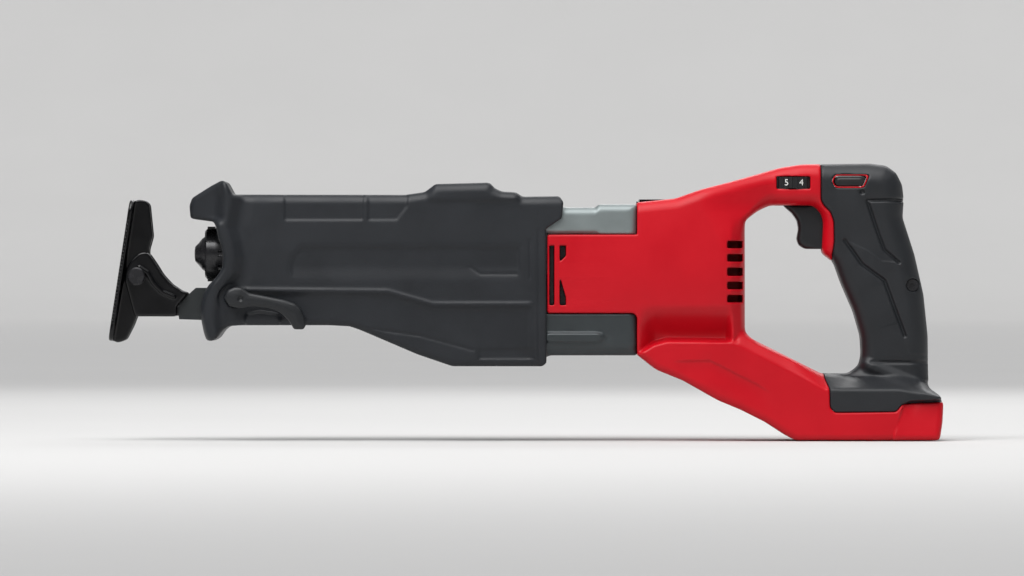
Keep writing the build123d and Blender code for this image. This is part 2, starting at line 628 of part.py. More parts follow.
# ---- controls ----
with BuildPart() as trigger:
    side_prism([(338.4, 28.9), (345, 23.1), (348, 18.9), (348.4, 14.3), (347.3, 8.3), (348.8, 5),
                (352.2, 2.9), (360, 2.9), (377, 2.9), (377, 28.9)], -7.5, 7.5)
    front_edges = trigger.faces().filter_by(Axis.Y).edges().filter_by(
        lambda edge: edge.center().X < 349.5 and abs((edge @ 0).Y - (edge @ 1).Y) < 0.01
    )
    fillet(front_edges, radius=2.2)
keep(trigger, "trigger")

with BuildPart() as trigger_switch:
    block((386, 402), (-8, 8), (1, 28))
    block((385.2, 386), (-3, 3), (12, 18))
keep(trigger_switch, "trigger_switch")

with BuildPart() as lock_button:
    with BuildSketch(Plane.XZ.offset(16)) as pill:
        with Locations(((LOCK_X[0] + LOCK_X[1]) / 2, (LOCK_Z[0] + LOCK_Z[1]) / 2)):
            RectangleRounded(LOCK_X[1] - LOCK_X[0] - 0.8, LOCK_Z[1] - LOCK_Z[0] - 0.8, 2.6)
    extrude(pill.sketch, amount=-36.5)
keep(lock_button, "lock_button")

with BuildPart() as speed_dial:
    rod_z((DIAL_CENTRE[0], 0), 37.8, 44.3, DIAL_R)
    with BuildSketch(Plane.XY.offset(37.8)) as notches:
        with Locations((DIAL_CENTRE[0], 0)):
            with PolarLocations(DIAL_R + 0.3, 36):
                Circle(0.7)
    extrude(notches.sketch, amount=6.5, mode=Mode.SUBTRACT)
    rod_z((DIAL_CENTRE[0], 0), 37, 46, 2.5, mode=Mode.SUBTRACT)
keep(speed_dial, "speed_dial")

with BuildPart() as dial_base:
    rod_z((DIAL_CENTRE[0], 0), 33.2, 37.0, 6)
    rod_z((DIAL_CENTRE[0], 0), 37.0, 44.0, 2.2)
keep(dial_base, "dial_base")

# ---- electronics and battery interface ----
with BuildPart() as control_module:
    block((373, 415), (-24, 24), (-87.5, -77))
    for step in range(7):
        block((376 + 5.4 * step, 378.4 + 5.4 * step), (-22, 22), (-77, -75.4))
keep(control_module, "control_module")

with BuildPart() as terminal_block:
    block((356, 369), (-22, 22), (-104, BAY_Z))
    for y in (-15, -5, 5, 15):
        block((355, 370), (y - 0.6, y + 0.6), (-103, -95), mode=Mode.SUBTRACT)
keep(terminal_block, "terminal_block")

with BuildPart() as battery_terminals:
    for y in (-15, -5, 5, 15):
        block((357, 380), (y - 0.5, y + 0.5), (-102.5, -95.5))
keep(battery_terminals, "battery_terminals")

with BuildPart() as battery_rails:
    for side in (-1, 1):
        block((372, 426), sorted((side * 25.6, side * BAY_HALF_WIDTH)), (-106.4, -103.4))
keep(battery_rails, "battery_rails")

# ---- front boot ----
BOOT_SIDE = [
    (-2.4, 27.9), (-0.8, 32.2), (10.4, 39.1), (16.4, 42.2), (19, 41.6), (23, 34.1), (122, 33.9),
    (133.3, 35.5), (139.3, 40.1), (170.5, 40.9), (177.4, 35.8), (185.6, 35.3), (189.3, 32.8),
    (210.4, 33.3), (212.7, 29.6), (211.8, 20.4), (202.8, 14.4), (203, -62.5), (201, -64.5),
    (148.9, -64.5), (128.7, -57.6), (96.6, -43.9), (90, -41.6), (78, -41), (27.6, -41),
    (20.4, -41.5), (17.7, -43.5), (14.4, -48.1), (11.1, -50.1), (7.8, -49.8), (6.2, -45.5),
    (4.6, -37.5), (4.1, -31), (6.2, -22.3), (9.1, -17.7), (13.8, -13.1), (17, -7.8), (17, 2.1),
    (14.7, 8.7), (13.4, 15.3), (11.7, 18.6), (-1.8, 20.3),
]
BOOT_PLAN = both_sides([
    (-4, 20), (8, 26), (14, 33.5), (30, 32.5), (CASE_FRONT_X, CASE_HALF_WIDTH[0] + BOOT_WALL),
    (BOOT_REAR_X, CASE_HALF_WIDTH[1] + BOOT_WALL), (214, CASE_HALF_WIDTH[1] + BOOT_WALL),
])
LED_Z = 25.0
with BuildPart() as front_boot:
    side_prism(BOOT_SIDE, -45, 45)
    plan_prism(BOOT_PLAN, -70, 60, mode=Mode.INTERSECT)
    long_edges = front_boot.edges().filter_by(
        lambda edge: abs((edge @ 0).X - (edge @ 1).X) > 75 and edge.center().Z > 30
    )
    chamfer(long_edges, length=3)
    # Room for the gearcase, the blade clamp, the shoe guide and the lamp.
    with BuildPart(mode=Mode.PRIVATE) as case_room:
        side_prism(CASE_SIDE, -40, 40, inset=-0.2)
        plan_prism(both_sides([(x, y + 0.2) for x, y in CASE_PLAN[:3]]), -70, 40, mode=Mode.INTERSECT)
    add(case_room.part, mode=Mode.SUBTRACT)
    rod_x(-10, CASE_FRONT_X + 1, 19.0, mode=Mode.SUBTRACT)
    block((0, CASE_FRONT_X + 1), (-16.3, 16.3), (-40.7, -10), mode=Mode.SUBTRACT)
    block((9, 34), (-8.2, 8.2), (17, LED_Z + 4.2), mode=Mode.SUBTRACT)
    rod_y(LEVER_PIVOT, -45, 0, 4.7, mode=Mode.SUBTRACT)
keep(front_boot, "front_boot")

with BuildPart() as led_lens:
    block((12, 16), (-8, 8), (20.6, LED_Z + 4))
    fillet(led_lens.edges().filter_by(Axis.X), radius=2.0)
keep(led_lens, "led_lens")

with BuildPart() as led_board:
    block((18, 19.6), (-8, 8), (20.6, LED_Z + 4))
    for y in (-4, 4):
        block((17, 18), (y - 1.5, y + 1.5), (LED_Z - 2.5, LED_Z + 0.5))
keep(led_board, "led_board")

# ---- shoe, its post and its lock ----
GUIDE_SIDE = [
    (-9.5, -30.4), (-2.6, -22.8), (1.1, -19.5), (60, -19.5), (60, -37.5), (4, -38), (-8.5, -37.6),
]
with BuildPart() as shoe_guide:
    side_prism(GUIDE_SIDE, -11, 11)
    side_prism([(9, -19.5), (60, -19.5), (60, -37.5), (9, -37.5)], -16, 16)
    block((-12, 61), (-POST_HALF_WIDTH - CLEAR, POST_HALF_WIDTH + CLEAR),
          (POST_Z[0] - CLEAR, POST_Z[1] + CLEAR), mode=Mode.SUBTRACT)
    rod_y(LEVER_PIVOT, -20, 12.5, 4.05, mode=Mode.SUBTRACT)
keep(shoe_guide, "shoe_guide")

FORK_SIDE = [
    (-34, -36), (-39.8, -15), (-39.2, -9.6), (-36.4, -4.0), (-31.5, 0.6), (-27.6, 1.2), (-25.6, 0.0),
    (-22.0, -5.2), (-17.8, -11.9), (-12.7, -17.4), (-7.0, -21.2), (-3.2, -22.6), (-9.9, -30.1), (-9.9, -36),
]
FORK_RIB = [
    (-31.0, -7.3), (-26.2, -10.2), (-22.8, -16.2), (-17.8, -21.2), (-9.0, -24.6),
    (-9.0, -26.4), (-18.8, -22.8), (-24.2, -17.2), (-27.4, -11.8), (-31.4, -9.0),
]
PIN_R = 3.5
PIN_HEAD_R = 5.2
with BuildPart() as shoe_post:
    for side in (-1, 1):
        side_prism(FORK_SIDE, *sorted((side * 11.6, side * 15.0)))
        side_prism(FORK_RIB, *sorted((side * 14.0, side * 16.0)))
    block((-20, -10.6), (-12, 12), (-36, -22))
    block((-12, 92), (-POST_HALF_WIDTH, POST_HALF_WIDTH), POST_Z)
    rod_y(SHOE_PIVOT, -20, 20, PIN_R, mode=Mode.SUBTRACT)
    for side in (-1, 1):
        rod_y(SHOE_PIVOT, *sorted((side * 15.0, side * 20.0)), PIN_HEAD_R + 0.3, mode=Mode.SUBTRACT)
keep(shoe_post, "shoe_post")

# Two stub pins leave the middle free for the blade.
with BuildPart() as shoe_pins:
    for side in (-1, 1):
        rod_y(SHOE_PIVOT, *sorted((side * 7.0, side * 17.6)), PIN_R)
        rod_y(SHOE_PIVOT, *sorted((side * 15.0, side * 17.6)), PIN_HEAD_R)
    rims = shoe_pins.edges().filter_by(GeomType.CIRCLE).filter_by(lambda rim: abs(rim.center().Y) > 17.5)
    chamfer(rims, length=0.8)
keep(shoe_pins, "shoe_pins")

FACE_U = -10.4
CHEEK = [
    (FACE_U, 38.5), (-9.2, 42.5), (-5.7, 44.2), (-1.2, 44.0), (1.1, 42.5), (5.7, 24.2), (4.7, 16.0),
    (7.3, 4.0), (7.3, -6.0), (2.4, -28.4), (-0.4, -36.9), (-5.2, -39.9), (-9.0, -38.5), (FACE_U, -35.0),
]
shoe_frame = Plane(
    origin=(SHOE_PIVOT[0], 0, SHOE_PIVOT[1]),
    x_dir=(cos(radians(SHOE_TILT)), 0, -sin(radians(SHOE_TILT))),
    z_dir=(0, -1, 0),
)
face_frame = Plane(
    origin=shoe_frame.from_local_coords((FACE_U, 0, 0)),
    x_dir=(0, 1, 0),
    z_dir=(cos(radians(SHOE_TILT)), 0, -sin(radians(SHOE_TILT))),
)
with BuildPart() as shoe_plate:
    for y_low in (7.8, -10.8):
        with BuildSketch(shoe_frame.offset(-y_low)) as cheek:
            with BuildLine():
                Polyline(*CHEEK, close=True)
            make_face()
        extrude(cheek.sketch, amount=-3.0)
    with BuildSketch(face_frame) as face:
        with Locations((0, 1.75)):
            RectangleRounded(37, 75.5, 7)
        with Locations((0, 6)):
            RectangleRounded(8, 46, 3.5, mode=Mode.SUBTRACT)
    extrude(face.sketch, amount=2.6)
    # Serration along both side edges of the face.
    with BuildSketch(face_frame) as notches:
        for step in range(15):
            for side in (-1, 1):
                with Locations((side * 18.5, -26 + 4 * step)):
                    Rectangle(3.0, 1.8)
    extrude(notches.sketch, amount=1.2, mode=Mode.SUBTRACT)
    rod_y(SHOE_PIVOT, -12, 12, PIN_R + RUNNING_FIT, mode=Mode.SUBTRACT)
keep(shoe_plate, "shoe_plate")

LEVER_SIDE = [
    (27.5, -19.6), (32.6, -22.6), (42.9, -24.6), (53.2, -26.7), (60.4, -29.8), (64.0, -35.9), (64.8, -40.0),
    (63.4, -42.6), (58.4, -42.6), (56.3, -39.0), (51.1, -33.9), (42.9, -30.8), (35.0, -30.2), (27.5, -31.0),
]
with BuildPart() as shoe_lever:
    side_prism(LEVER_SIDE, -39.2, -34.6)
    rod_y(LEVER_PIVOT, -39.8, -34.2, 6.5)
    rod_y(LEVER_PIVOT, -38.2, -33, 2.6, mode=Mode.SUBTRACT)
keep(shoe_lever, "shoe_lever")

with BuildPart() as lever_cam:
    rod_y(LEVER_PIVOT, -38.2, 12.0, 2.6)
    rod_y(LEVER_PIVOT, -33.8, 12.0, 4.0)
keep(lever_cam, "lever_cam")

# ---- rafter hook on the right side ----
HOOK_X = (255.5, 274.5)
with BuildPart() as hook_bracket:
    block((256.5, 273.5), (-12, 38), HOOK_PLATE_Z)
    block((259.5, 270.5), (37, 39), HOOK_PLATE_Z)
    block((259.5, 270.5), (38.6, HOOK_AXIS[0]), (25, HOOK_PLATE_Z[1]))
    rod_x(259.5, 270.5, 3.2, y=HOOK_AXIS[0], z=HOOK_AXIS[1])
    rod_x(250, 280, 1.65, y=HOOK_AXIS[0], z=HOOK_AXIS[1], mode=Mode.SUBTRACT)
    rod_z(HOOK_SCREW, 20, 40, 1.7, mode=Mode.SUBTRACT)
    rod_z(HOOK_SCREW, HOOK_PLATE_Z[1] - 1.2, 40, HOOK_SCREW_HEAD_R + 0.1, mode=Mode.SUBTRACT)
keep(hook_bracket, "hook_bracket")

with BuildPart() as hook_pin:
    rod_x(255.8, 274.2, 1.6, y=HOOK_AXIS[0], z=HOOK_AXIS[1])
keep(hook_pin, "hook_pin")

with BuildPart() as hang_hook:
    with BuildSketch(Plane.YZ.offset(HOOK_X[0])) as strip:
        with BuildLine():
            Polyline((40, 27.5), (43.6, 27.5), (43.6, -30), (47.8, -33.5), (47.8, -24), (50.8, -24),
                     (50.8, -36), (44.8, -40), (40, -34), close=True)
        make_face()
    extrude(strip.sketch, amount=HOOK_X[1] - HOOK_X[0])
    rod_x(*HOOK_X, 3.4, y=HOOK_AXIS[0], z=HOOK_AXIS[1])
    block((259.1, 270.9), (36, 47), (22, 32), mode=Mode.SUBTRACT)
    block((260.5, 269.5), (36, 46), (-18, 12), mode=Mode.SUBTRACT)
    rod_x(250, 280, 1.65, y=HOOK_AXIS[0], z=HOOK_AXIS[1], mode=Mode.SUBTRACT)
keep(hang_hook, "hang_hook")

# The head lies flush in the plate.
with BuildPart() as hook_screw:
    rod_z(HOOK_SCREW, 22, HOOK_PLATE_Z[1] - 1.2, 1.6)
    rod_z(HOOK_SCREW, HOOK_PLATE_Z[1] - 1.2, HOOK_PLATE_Z[1], HOOK_SCREW_HEAD_R)
    rod_z(HOOK_SCREW, HOOK_PLATE_Z[1] - 0.8, HOOK_PLATE_Z[1] + 1, 1.2, mode=Mode.SUBTRACT)
keep(hook_screw, "hook_screw")
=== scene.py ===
import json
import math

import bpy
import numpy as np
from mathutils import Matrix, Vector


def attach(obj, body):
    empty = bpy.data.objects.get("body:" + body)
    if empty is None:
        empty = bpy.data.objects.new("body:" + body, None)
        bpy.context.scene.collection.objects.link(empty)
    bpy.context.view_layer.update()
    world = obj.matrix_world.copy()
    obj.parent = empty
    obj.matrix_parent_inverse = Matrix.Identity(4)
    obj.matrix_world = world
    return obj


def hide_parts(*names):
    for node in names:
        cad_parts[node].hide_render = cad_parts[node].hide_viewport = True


# A cordless reciprocating saw. The outer shells are sculpted as distance fields
# over the side view: an outline, and a half width that says how far each point of
# the side stands out. Shape values are millimetres, and every mesh is made in metres.

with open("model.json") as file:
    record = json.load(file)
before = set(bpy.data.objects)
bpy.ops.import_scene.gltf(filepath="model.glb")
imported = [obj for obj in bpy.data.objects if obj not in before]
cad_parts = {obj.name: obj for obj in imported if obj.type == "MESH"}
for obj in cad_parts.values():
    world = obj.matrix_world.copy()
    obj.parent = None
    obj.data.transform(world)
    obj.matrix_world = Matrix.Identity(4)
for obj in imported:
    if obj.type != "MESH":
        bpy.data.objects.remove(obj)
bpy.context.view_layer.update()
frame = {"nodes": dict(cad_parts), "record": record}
MM = 0.001


# ---------------------------------------------------------------- distance fields
def polygon_field(x, z, points):
    """Signed distance to a closed outline, negative inside."""
    nearest = np.full(x.shape, 1e9, np.float32)
    inside = np.zeros(x.shape, bool)
    for (ax, az), (bx, bz) in zip(points, points[1:] + points[:1]):
        ex, ez = bx - ax, bz - az
        along = np.clip(((x - ax) * ex + (z - az) * ez) / (ex * ex + ez * ez), 0, 1)
        nearest = np.minimum(nearest, (x - ax - along * ex) ** 2 + (z - az - along * ez) ** 2)
        if az != bz:
            crosses = (az > z) != (bz > z)
            inside ^= crosses & (x < ax + (z - az) / (bz - az) * ex)
    distance = np.sqrt(nearest)
    return np.where(inside, -distance, distance)


def path_field(x, z, points):
    """Distance to an open line of points."""
    nearest = np.full(x.shape, 1e9, np.float32)
    for (ax, az), (bx, bz) in zip(points, points[1:]):
        ex, ez = bx - ax, bz - az
        along = np.clip(((x - ax) * ex + (z - az) * ez) / (ex * ex + ez * ez), 0, 1)
        nearest = np.minimum(nearest, (x - ax - along * ex) ** 2 + (z - az - along * ez) ** 2)
    return np.sqrt(nearest)


def box_field(x, z, x_range, z_range, corner=0.0):
    """Signed distance to a rectangle with round corners."""
    dx = np.abs(x - sum(x_range) / 2) - (x_range[1] - x_range[0]) / 2 + corner
    dz = np.abs(z - sum(z_range) / 2) - (z_range[1] - z_range[0]) / 2 + corner
    outside = np.sqrt(np.maximum(dx, 0) ** 2 + np.maximum(dz, 0) ** 2)
    return outside + np.minimum(np.maximum(dx, dz), 0) - corner


def ramp(low, high, value):
    """0 before low, 1 after high, smooth between."""
    t = np.clip((value - low) / (high - low), 0, 1)
    return t * t * (3 - 2 * t)


def groove(distance, width, depth):
    """A round-bottomed groove of that width along a line, as a drop in the surface."""
    return depth * (1 - ramp(0.0, width, np.abs(distance)))


def round_both(a, b, radius):
    """Where both a and b hold, with their common edge rounded."""
    u = np.maximum(a + radius, 0)
    v = np.maximum(b + radius, 0)
    return np.minimum(np.maximum(a, b), -radius) + np.sqrt(u * u + v * v)


def round_either(a, b, radius):
    """Where a or b holds, with a fillet between them."""
    u = np.maximum(radius - a, 0)
    v = np.maximum(radius - b, 0)
    return np.maximum(np.minimum(a, b), radius) - np.sqrt(u * u + v * v)


def blur(values, sigma):
    """Gaussian smoothing of a side view field. sigma is in samples."""
    reach = int(3 * sigma) + 1
    weights = np.exp(-0.5 * (np.arange(-reach, reach + 1) / sigma) ** 2)
    weights /= weights.sum()
    for axis in (0, 1):
        margins = [(reach, reach) if axis == n else (0, 0) for n in (0, 1)]
        padded = np.pad(values, margins, mode="edge")
        total = np.zeros_like(values)
        for shift, weight in enumerate(weights):
            part = [slice(None), slice(None)]
            part[axis] = slice(shift, shift + values.shape[axis])
            total += weight * padded[tuple(part)]
        values = total
    return values


class Block:
    """A box of sample points. x and z are side view fields, y is the position across."""

    def __init__(self, x_range, y_range, z_range, step):
        self.step = step
        self.low = np.array([x_range[0], y_range[0], z_range[0]], np.float32)
        axes = [
            np.arange(low, high + step, step, dtype=np.float32)
            for low, high in (x_range, y_range, z_range)
        ]
        self.x, self.z = np.meshgrid(axes[0], axes[2], indexing="ij")
        self.y = axes[1][None, :, None]
        self.x3 = axes[0][:, None, None]
        self.z3 = axes[2][None, None, :]

    def deep(self, field):
        """A side view field, ready to combine with y."""
        return field[:, None, :]

    def within(self, side, half_width):
        """A side view shape, cut off at a half width on both sides."""
        return np.maximum(self.deep(side), np.abs(self.y) - half_width)

    def beyond(self, side, half_width):
        """A side view shape, only where it lies further out than a half width."""
        return np.maximum(self.deep(side), half_width - np.abs(self.y))

    def from_cross_axis(self, centre_x, centre_z):
        """Distance from an axis that runs across the saw."""
        return np.sqrt((self.x3 - centre_x) ** 2 + (self.z3 - centre_z) ** 2)

    def from_long_axis(self, centre_z):
        """Distance from an axis that runs along the saw, on the middle plane."""
        return np.sqrt(self.y ** 2 + (self.z3 - centre_z) ** 2)


def side_field(block, width):
    """Distance to two mirrored side faces that stand out by a varying half width."""
    along_x, along_z = np.gradient(width, block.step)
    steepness = np.sqrt(1 + along_x ** 2 + along_z ** 2)
    return (np.abs(block.y) - width[:, None, :]) / steepness[:, None, :]


def net_surface(values):
    """Vertices, in sample steps, and quads of the zero level of a 3-D field."""
    inside = values < 0
    nx, ny, nz = values.shape
    corners = [(i, j, k) for i in (0, 1) for j in (0, 1) for k in (0, 1)]
    count = np.zeros((nx - 1, ny - 1, nz - 1), np.int8)
    for i, j, k in corners:
        count += inside[i:nx - 1 + i, j:ny - 1 + j, k:nz - 1 + k]
    cells = np.argwhere((count > 0) & (count < 8))
    index = np.full(count.shape, -1, np.int32)
    index[cells[:, 0], cells[:, 1], cells[:, 2]] = np.arange(len(cells))
    total = np.zeros((len(cells), 3), np.float32)
    hits = np.zeros(len(cells), np.float32)
    for a in corners:
        for axis in range(3):
            if a[axis]:
                continue
            b = tuple(c + (n == axis) for n, c in enumerate(a))
            va = values[cells[:, 0] + a[0], cells[:, 1] + a[1], cells[:, 2] + a[2]]
            vb = values[cells[:, 0] + b[0], cells[:, 1] + b[1], cells[:, 2] + b[2]]
            cut = (va < 0) != (vb < 0)
            share = va[cut] / (va[cut] - vb[cut])
            point = np.tile(np.array(a, np.float32), (cut.sum(), 1))
            point[:, axis] += share
            total[cut] += point
            hits[cut] += 1
    vertices = cells + total / hits[:, None]
    quads = []
    for axis in range(3):
        low = [slice(1, -1)] * 3
        high = [slice(1, -1)] * 3
        low[axis] = slice(0, -1)
        high[axis] = slice(1, None)
        first, second = inside[tuple(low)], inside[tuple(high)]
        edges = np.argwhere(first != second)
        starts_inside = first[edges[:, 0], edges[:, 1], edges[:, 2]]
        base = edges + np.array([0 if n == axis else 1 for n in range(3)])
        u, v = (axis + 1) % 3, (axis + 2) % 3
        ring = []
        for du, dv in ((-1, -1), (0, -1), (0, 0), (-1, 0)):
            cell = base.copy()
            cell[:, u] += du
            cell[:, v] += dv
            ring.append(index[cell[:, 0], cell[:, 1], cell[:, 2]])
        faces = np.stack(ring, axis=1)
        faces[~starts_inside] = faces[~starts_inside][:, ::-1]
        quads.append(faces)
    return vertices, np.concatenate(quads)


def mesh_object(name, vertices, quads):
    """A smooth-shaded object from vertices in millimetres."""
    mesh = bpy.data.meshes.new(name)
    mesh.vertices.add(len(vertices))
    mesh.vertices.foreach_set("co", (vertices * MM).astype(np.float32).ravel())
    mesh.loops.add(quads.size)
    mesh.loops.foreach_set("vertex_index", quads.astype(np.int32).ravel())
    mesh.polygons.add(len(quads))
    mesh.polygons.foreach_set("loop_start", np.arange(0, quads.size, 4, dtype=np.int32))
    mesh.polygons.foreach_set("use_smooth", np.ones(len(quads), bool))
    mesh.update(calc_edges=True)
    mesh.validate()
    piece = bpy.data.objects.new(name, mesh)
    bpy.context.scene.collection.objects.link(piece)
    return piece


def sculpt(name, block, values, keep=0.35, place=None):
    """The mesh of a field, thinned where it is flat."""
    values = np.broadcast_to(values, (block.x.shape[0], block.y.size, block.x.shape[1]))
    vertices, quads = net_surface(np.ascontiguousarray(values, dtype=np.float32))
    vertices = vertices * block.step + block.low
    if place is not None:
        vertices = place(vertices)
    piece = mesh_object(name, vertices, quads)
    if keep < 1:
        thin = piece.modifiers.new("thin", "DECIMATE")
        thin.ratio = keep
        bpy.context.view_layer.update()
        thinned = bpy.data.meshes.new_from_object(
            piece.evaluated_get(bpy.context.evaluated_depsgraph_get())
        )
        piece.modifiers.clear()
        piece.data = thinned
        piece.data.name = name
    return piece


# ---------------------------------------------------------------- materials
NOISE_BAND = (0.3, 0.7)  # the part of the noise range that colour and gloss follow
FINE_SHARE = 0.35  # how much of the gloss follows the fine grain, not the mottle
SCUFF_BAND = (0.62, 0.78)


def material(name, color, roughness, *, metallic=0.0, shade=0.06, mottle=60.0, grain=1500.0,
             bump=0.12, depth=0.00012, rough_swing=0.08, coat=0.0, coat_roughness=0.2, specular=0.5,
             stretch=(1, 1, 1), scuffs=0.0):
    """A moulded, cast or ground surface: mottled colour, uneven gloss and a fine grain."""
    made = bpy.data.materials.new(name)
    made.use_nodes = True
    nodes, links = made.node_tree.nodes, made.node_tree.links
    shader = nodes["Principled BSDF"]
    shader.inputs["Metallic"].default_value = metallic
    shader.inputs["Specular IOR Level"].default_value = specular
    shader.inputs["Coat Weight"].default_value = coat
    shader.inputs["Coat Roughness"].default_value = coat_roughness
    place = nodes.new("ShaderNodeTexCoord")
    scale = nodes.new("ShaderNodeMapping")
    scale.inputs["Scale"].default_value = stretch
    links.new(place.outputs["Object"], scale.inputs["Vector"])
    broad = nodes.new("ShaderNodeTexNoise")
    broad.inputs["Scale"].default_value = mottle
    broad.inputs["Detail"].default_value = 5
    links.new(scale.outputs["Vector"], broad.inputs["Vector"])
    tint = nodes.new("ShaderNodeValToRGB")
    tint.color_ramp.elements[0].position = NOISE_BAND[0]
    tint.color_ramp.elements[1].position = NOISE_BAND[1]
    tint.color_ramp.elements[0].color = (*[c * (1 - shade) for c in color], 1)
    tint.color_ramp.elements[1].color = (*[min(1, c * (1 + shade)) for c in color], 1)
    links.new(broad.outputs["Fac"], tint.inputs["Fac"])
    base = tint.outputs["Color"]
    gloss = nodes.new("ShaderNodeMapRange")
    gloss.inputs["From Min"].default_value = NOISE_BAND[0]
    gloss.inputs["From Max"].default_value = NOISE_BAND[1]
    gloss.inputs["To Min"].default_value = max(0.02, roughness - rough_swing)
    gloss.inputs["To Max"].default_value = min(1.0, roughness + rough_swing)
    fine = nodes.new("ShaderNodeTexNoise")
    fine.inputs["Scale"].default_value = grain
    fine.inputs["Detail"].default_value = 3
    links.new(scale.outputs["Vector"], fine.inputs["Vector"])
    blend = nodes.new("ShaderNodeMath")
    blend.operation = "MULTIPLY_ADD"
    blend.inputs[1].default_value = FINE_SHARE
    links.new(fine.outputs["Fac"], blend.inputs[0])
    rest = nodes.new("ShaderNodeMath")
    rest.operation = "MULTIPLY"
    rest.inputs[1].default_value = 1 - FINE_SHARE
    links.new(broad.outputs["Fac"], rest.inputs[0])
    links.new(rest.outputs["Value"], blend.inputs[2])
    links.new(blend.outputs["Value"], gloss.inputs["Value"])
    links.new(gloss.outputs["Result"], shader.inputs["Roughness"])
    height = nodes.new("ShaderNodeBump")
    height.inputs["Strength"].default_value = bump
    height.inputs["Distance"].default_value = depth
    links.new(fine.outputs["Fac"], height.inputs["Height"])
    links.new(height.outputs["Normal"], shader.inputs["Normal"])
    if scuffs:
        marks = nodes.new("ShaderNodeTexNoise")
        marks.inputs["Scale"].default_value = 340
        marks.inputs["Detail"].default_value = 8
        marks.inputs["Roughness"].default_value = 0.75
        links.new(scale.outputs["Vector"], marks.inputs["Vector"])
        pick = nodes.new("ShaderNodeMapRange")
        pick.inputs["From Min"].default_value = SCUFF_BAND[0]
        pick.inputs["From Max"].default_value = SCUFF_BAND[1]
        pick.inputs["To Max"].default_value = scuffs
        links.new(marks.outputs["Fac"], pick.inputs["Value"])
        worn = nodes.new("ShaderNodeMixRGB")
        worn.inputs["Color2"].default_value = (*[min(1, c * 2.0 + 0.03) for c in color], 1)
        links.new(pick.outputs["Result"], worn.inputs["Fac"])
        links.new(base, worn.inputs["Color1"])
        base = worn.outputs["Color"]
    links.new(base, shader.inputs["Base Color"])
    return made


RED = (0.50, 0.002, 0.010)
MATERIALS = {
    "housing_shell": material("red_abs", RED, 0.40, shade=0.05, mottle=35, grain=2600, bump=0.10,
                              depth=0.00008, specular=0.26, scuffs=0.04),
    "soft_grip": material("grip_rubber", (0.0115, 0.013, 0.0155), 0.48, shade=0.10, mottle=70,
                          grain=2200, bump=0.35, depth=0.00012, specular=0.40, scuffs=0.08),
    "boot_rubber": material("boot_rubber", (0.0120, 0.0138, 0.0172), 0.50, shade=0.12, mottle=45,
                            grain=1600, bump=0.30, depth=0.00014, specular=0.36, scuffs=0.10),
    # One grey paint for both gearcase halves, in a lit and a shaded copy: the upper half is painted
    # lighter as painted highlight, the lower half darker as painted shade.
    "case_light": material("case_grey_painted_highlight", (0.21, 0.24, 0.24), 0.38, metallic=0.3, shade=0.06,
                           mottle=90, grain=2400, bump=0.25, depth=0.0001, specular=0.4),
    "case_dark": material("case_grey_painted_shade", (0.040, 0.047, 0.050), 0.38, metallic=0.3, shade=0.08,
                          mottle=90, grain=2400, bump=0.25, depth=0.0001, specular=0.4),
    "black_steel": material("black_coated_steel", (0.0025, 0.0025, 0.003), 0.17, shade=0.2,
                            mottle=120, grain=1800, bump=0.12, depth=0.00008, specular=0.34, scuffs=0.12),
    "bright_steel": material("ground_steel", (0.52, 0.52, 0.53), 0.28, metallic=1.0, shade=0.05,
                             mottle=200, grain=2600, bump=0.2, depth=0.00005, stretch=(1, 6, 1)),
    "dark_steel": material("phosphated_steel", (0.018, 0.018, 0.020), 0.26, metallic=0.3, shade=0.15,
                           mottle=220, grain=2600, bump=0.25, depth=0.00007, scuffs=0.15),
    "tool_steel": material("machined_steel", (0.40, 0.41, 0.42), 0.30, metallic=1.0, shade=0.06,
                           mottle=150, grain=2200, bump=0.2, depth=0.00005, stretch=(8, 1, 1)),
    "bronze": material("sintered_bronze", (0.44, 0.27, 0.11), 0.45, metallic=1.0, shade=0.10, mottle=300,
                       grain=3000, bump=0.4, depth=0.00006),
    "seal_rubber": material("seal_rubber", (0.018, 0.018, 0.018), 0.6, grain=2000, bump=0.3),
    "zinc": material("cast_zinc", (0.030, 0.034, 0.035), 0.42, metallic=0.4, shade=0.10, mottle=160,
                     grain=1800, bump=0.4, depth=0.0001, scuffs=0.15),
    "dark_plastic": material("charcoal_plastic", (0.0095, 0.0107, 0.0125), 0.42, shade=0.10, mottle=90,
                             grain=2600, bump=0.30, depth=0.0001, specular=0.4, scuffs=0.06),
    "black_plastic": material("black_plastic", (0.007, 0.007, 0.008), 0.38, shade=0.12, mottle=110,
                              grain=2600, bump=0.25, depth=0.00008),
    "grey_plastic": material("grey_plastic", (0.16, 0.16, 0.17), 0.45, mottle=110, grain=2400, bump=0.2),
    "steel_sheets": material("lamination_steel", (0.20, 0.21, 0.22), 0.36, metallic=0.9, mottle=80,
                             grain=1400, bump=0.5, depth=0.0001, stretch=(6, 1, 1)),
    "copper": material("enamelled_copper", (0.50, 0.17, 0.055), 0.30, metallic=0.9, mottle=150,
                       grain=900, bump=0.8, depth=0.0003, stretch=(1, 5, 5)),
    "circuit_board": material("circuit_board", (0.010, 0.075, 0.026), 0.30, mottle=260, grain=1200,
                              bump=0.3),
    "contact_metal": material("plated_contacts", (0.72, 0.60, 0.36), 0.22, metallic=1.0, mottle=200,
                              grain=2400, bump=0.1),
    "ball_steel": material("polished_balls", (0.62, 0.62, 0.64), 0.10, metallic=1.0, mottle=200,
                           grain=2400, bump=0.03, rough_swing=0.03),
}


def lens_material():
    """The clear lens of the lamp in the hood."""
    made = material("clear_lens", (0.85, 0.9, 0.93), 0.12, mottle=90, grain=2000, bump=0.08,
                    rough_swing=0.04)
    made.node_tree.nodes["Principled BSDF"].inputs["Transmission Weight"].default_value = 0.85
    return made


MATERIALS["clear_lens"] = lens_material()
slot_of = {part["node"]: part["material_slot"] for part in frame["record"]["subparts"]}


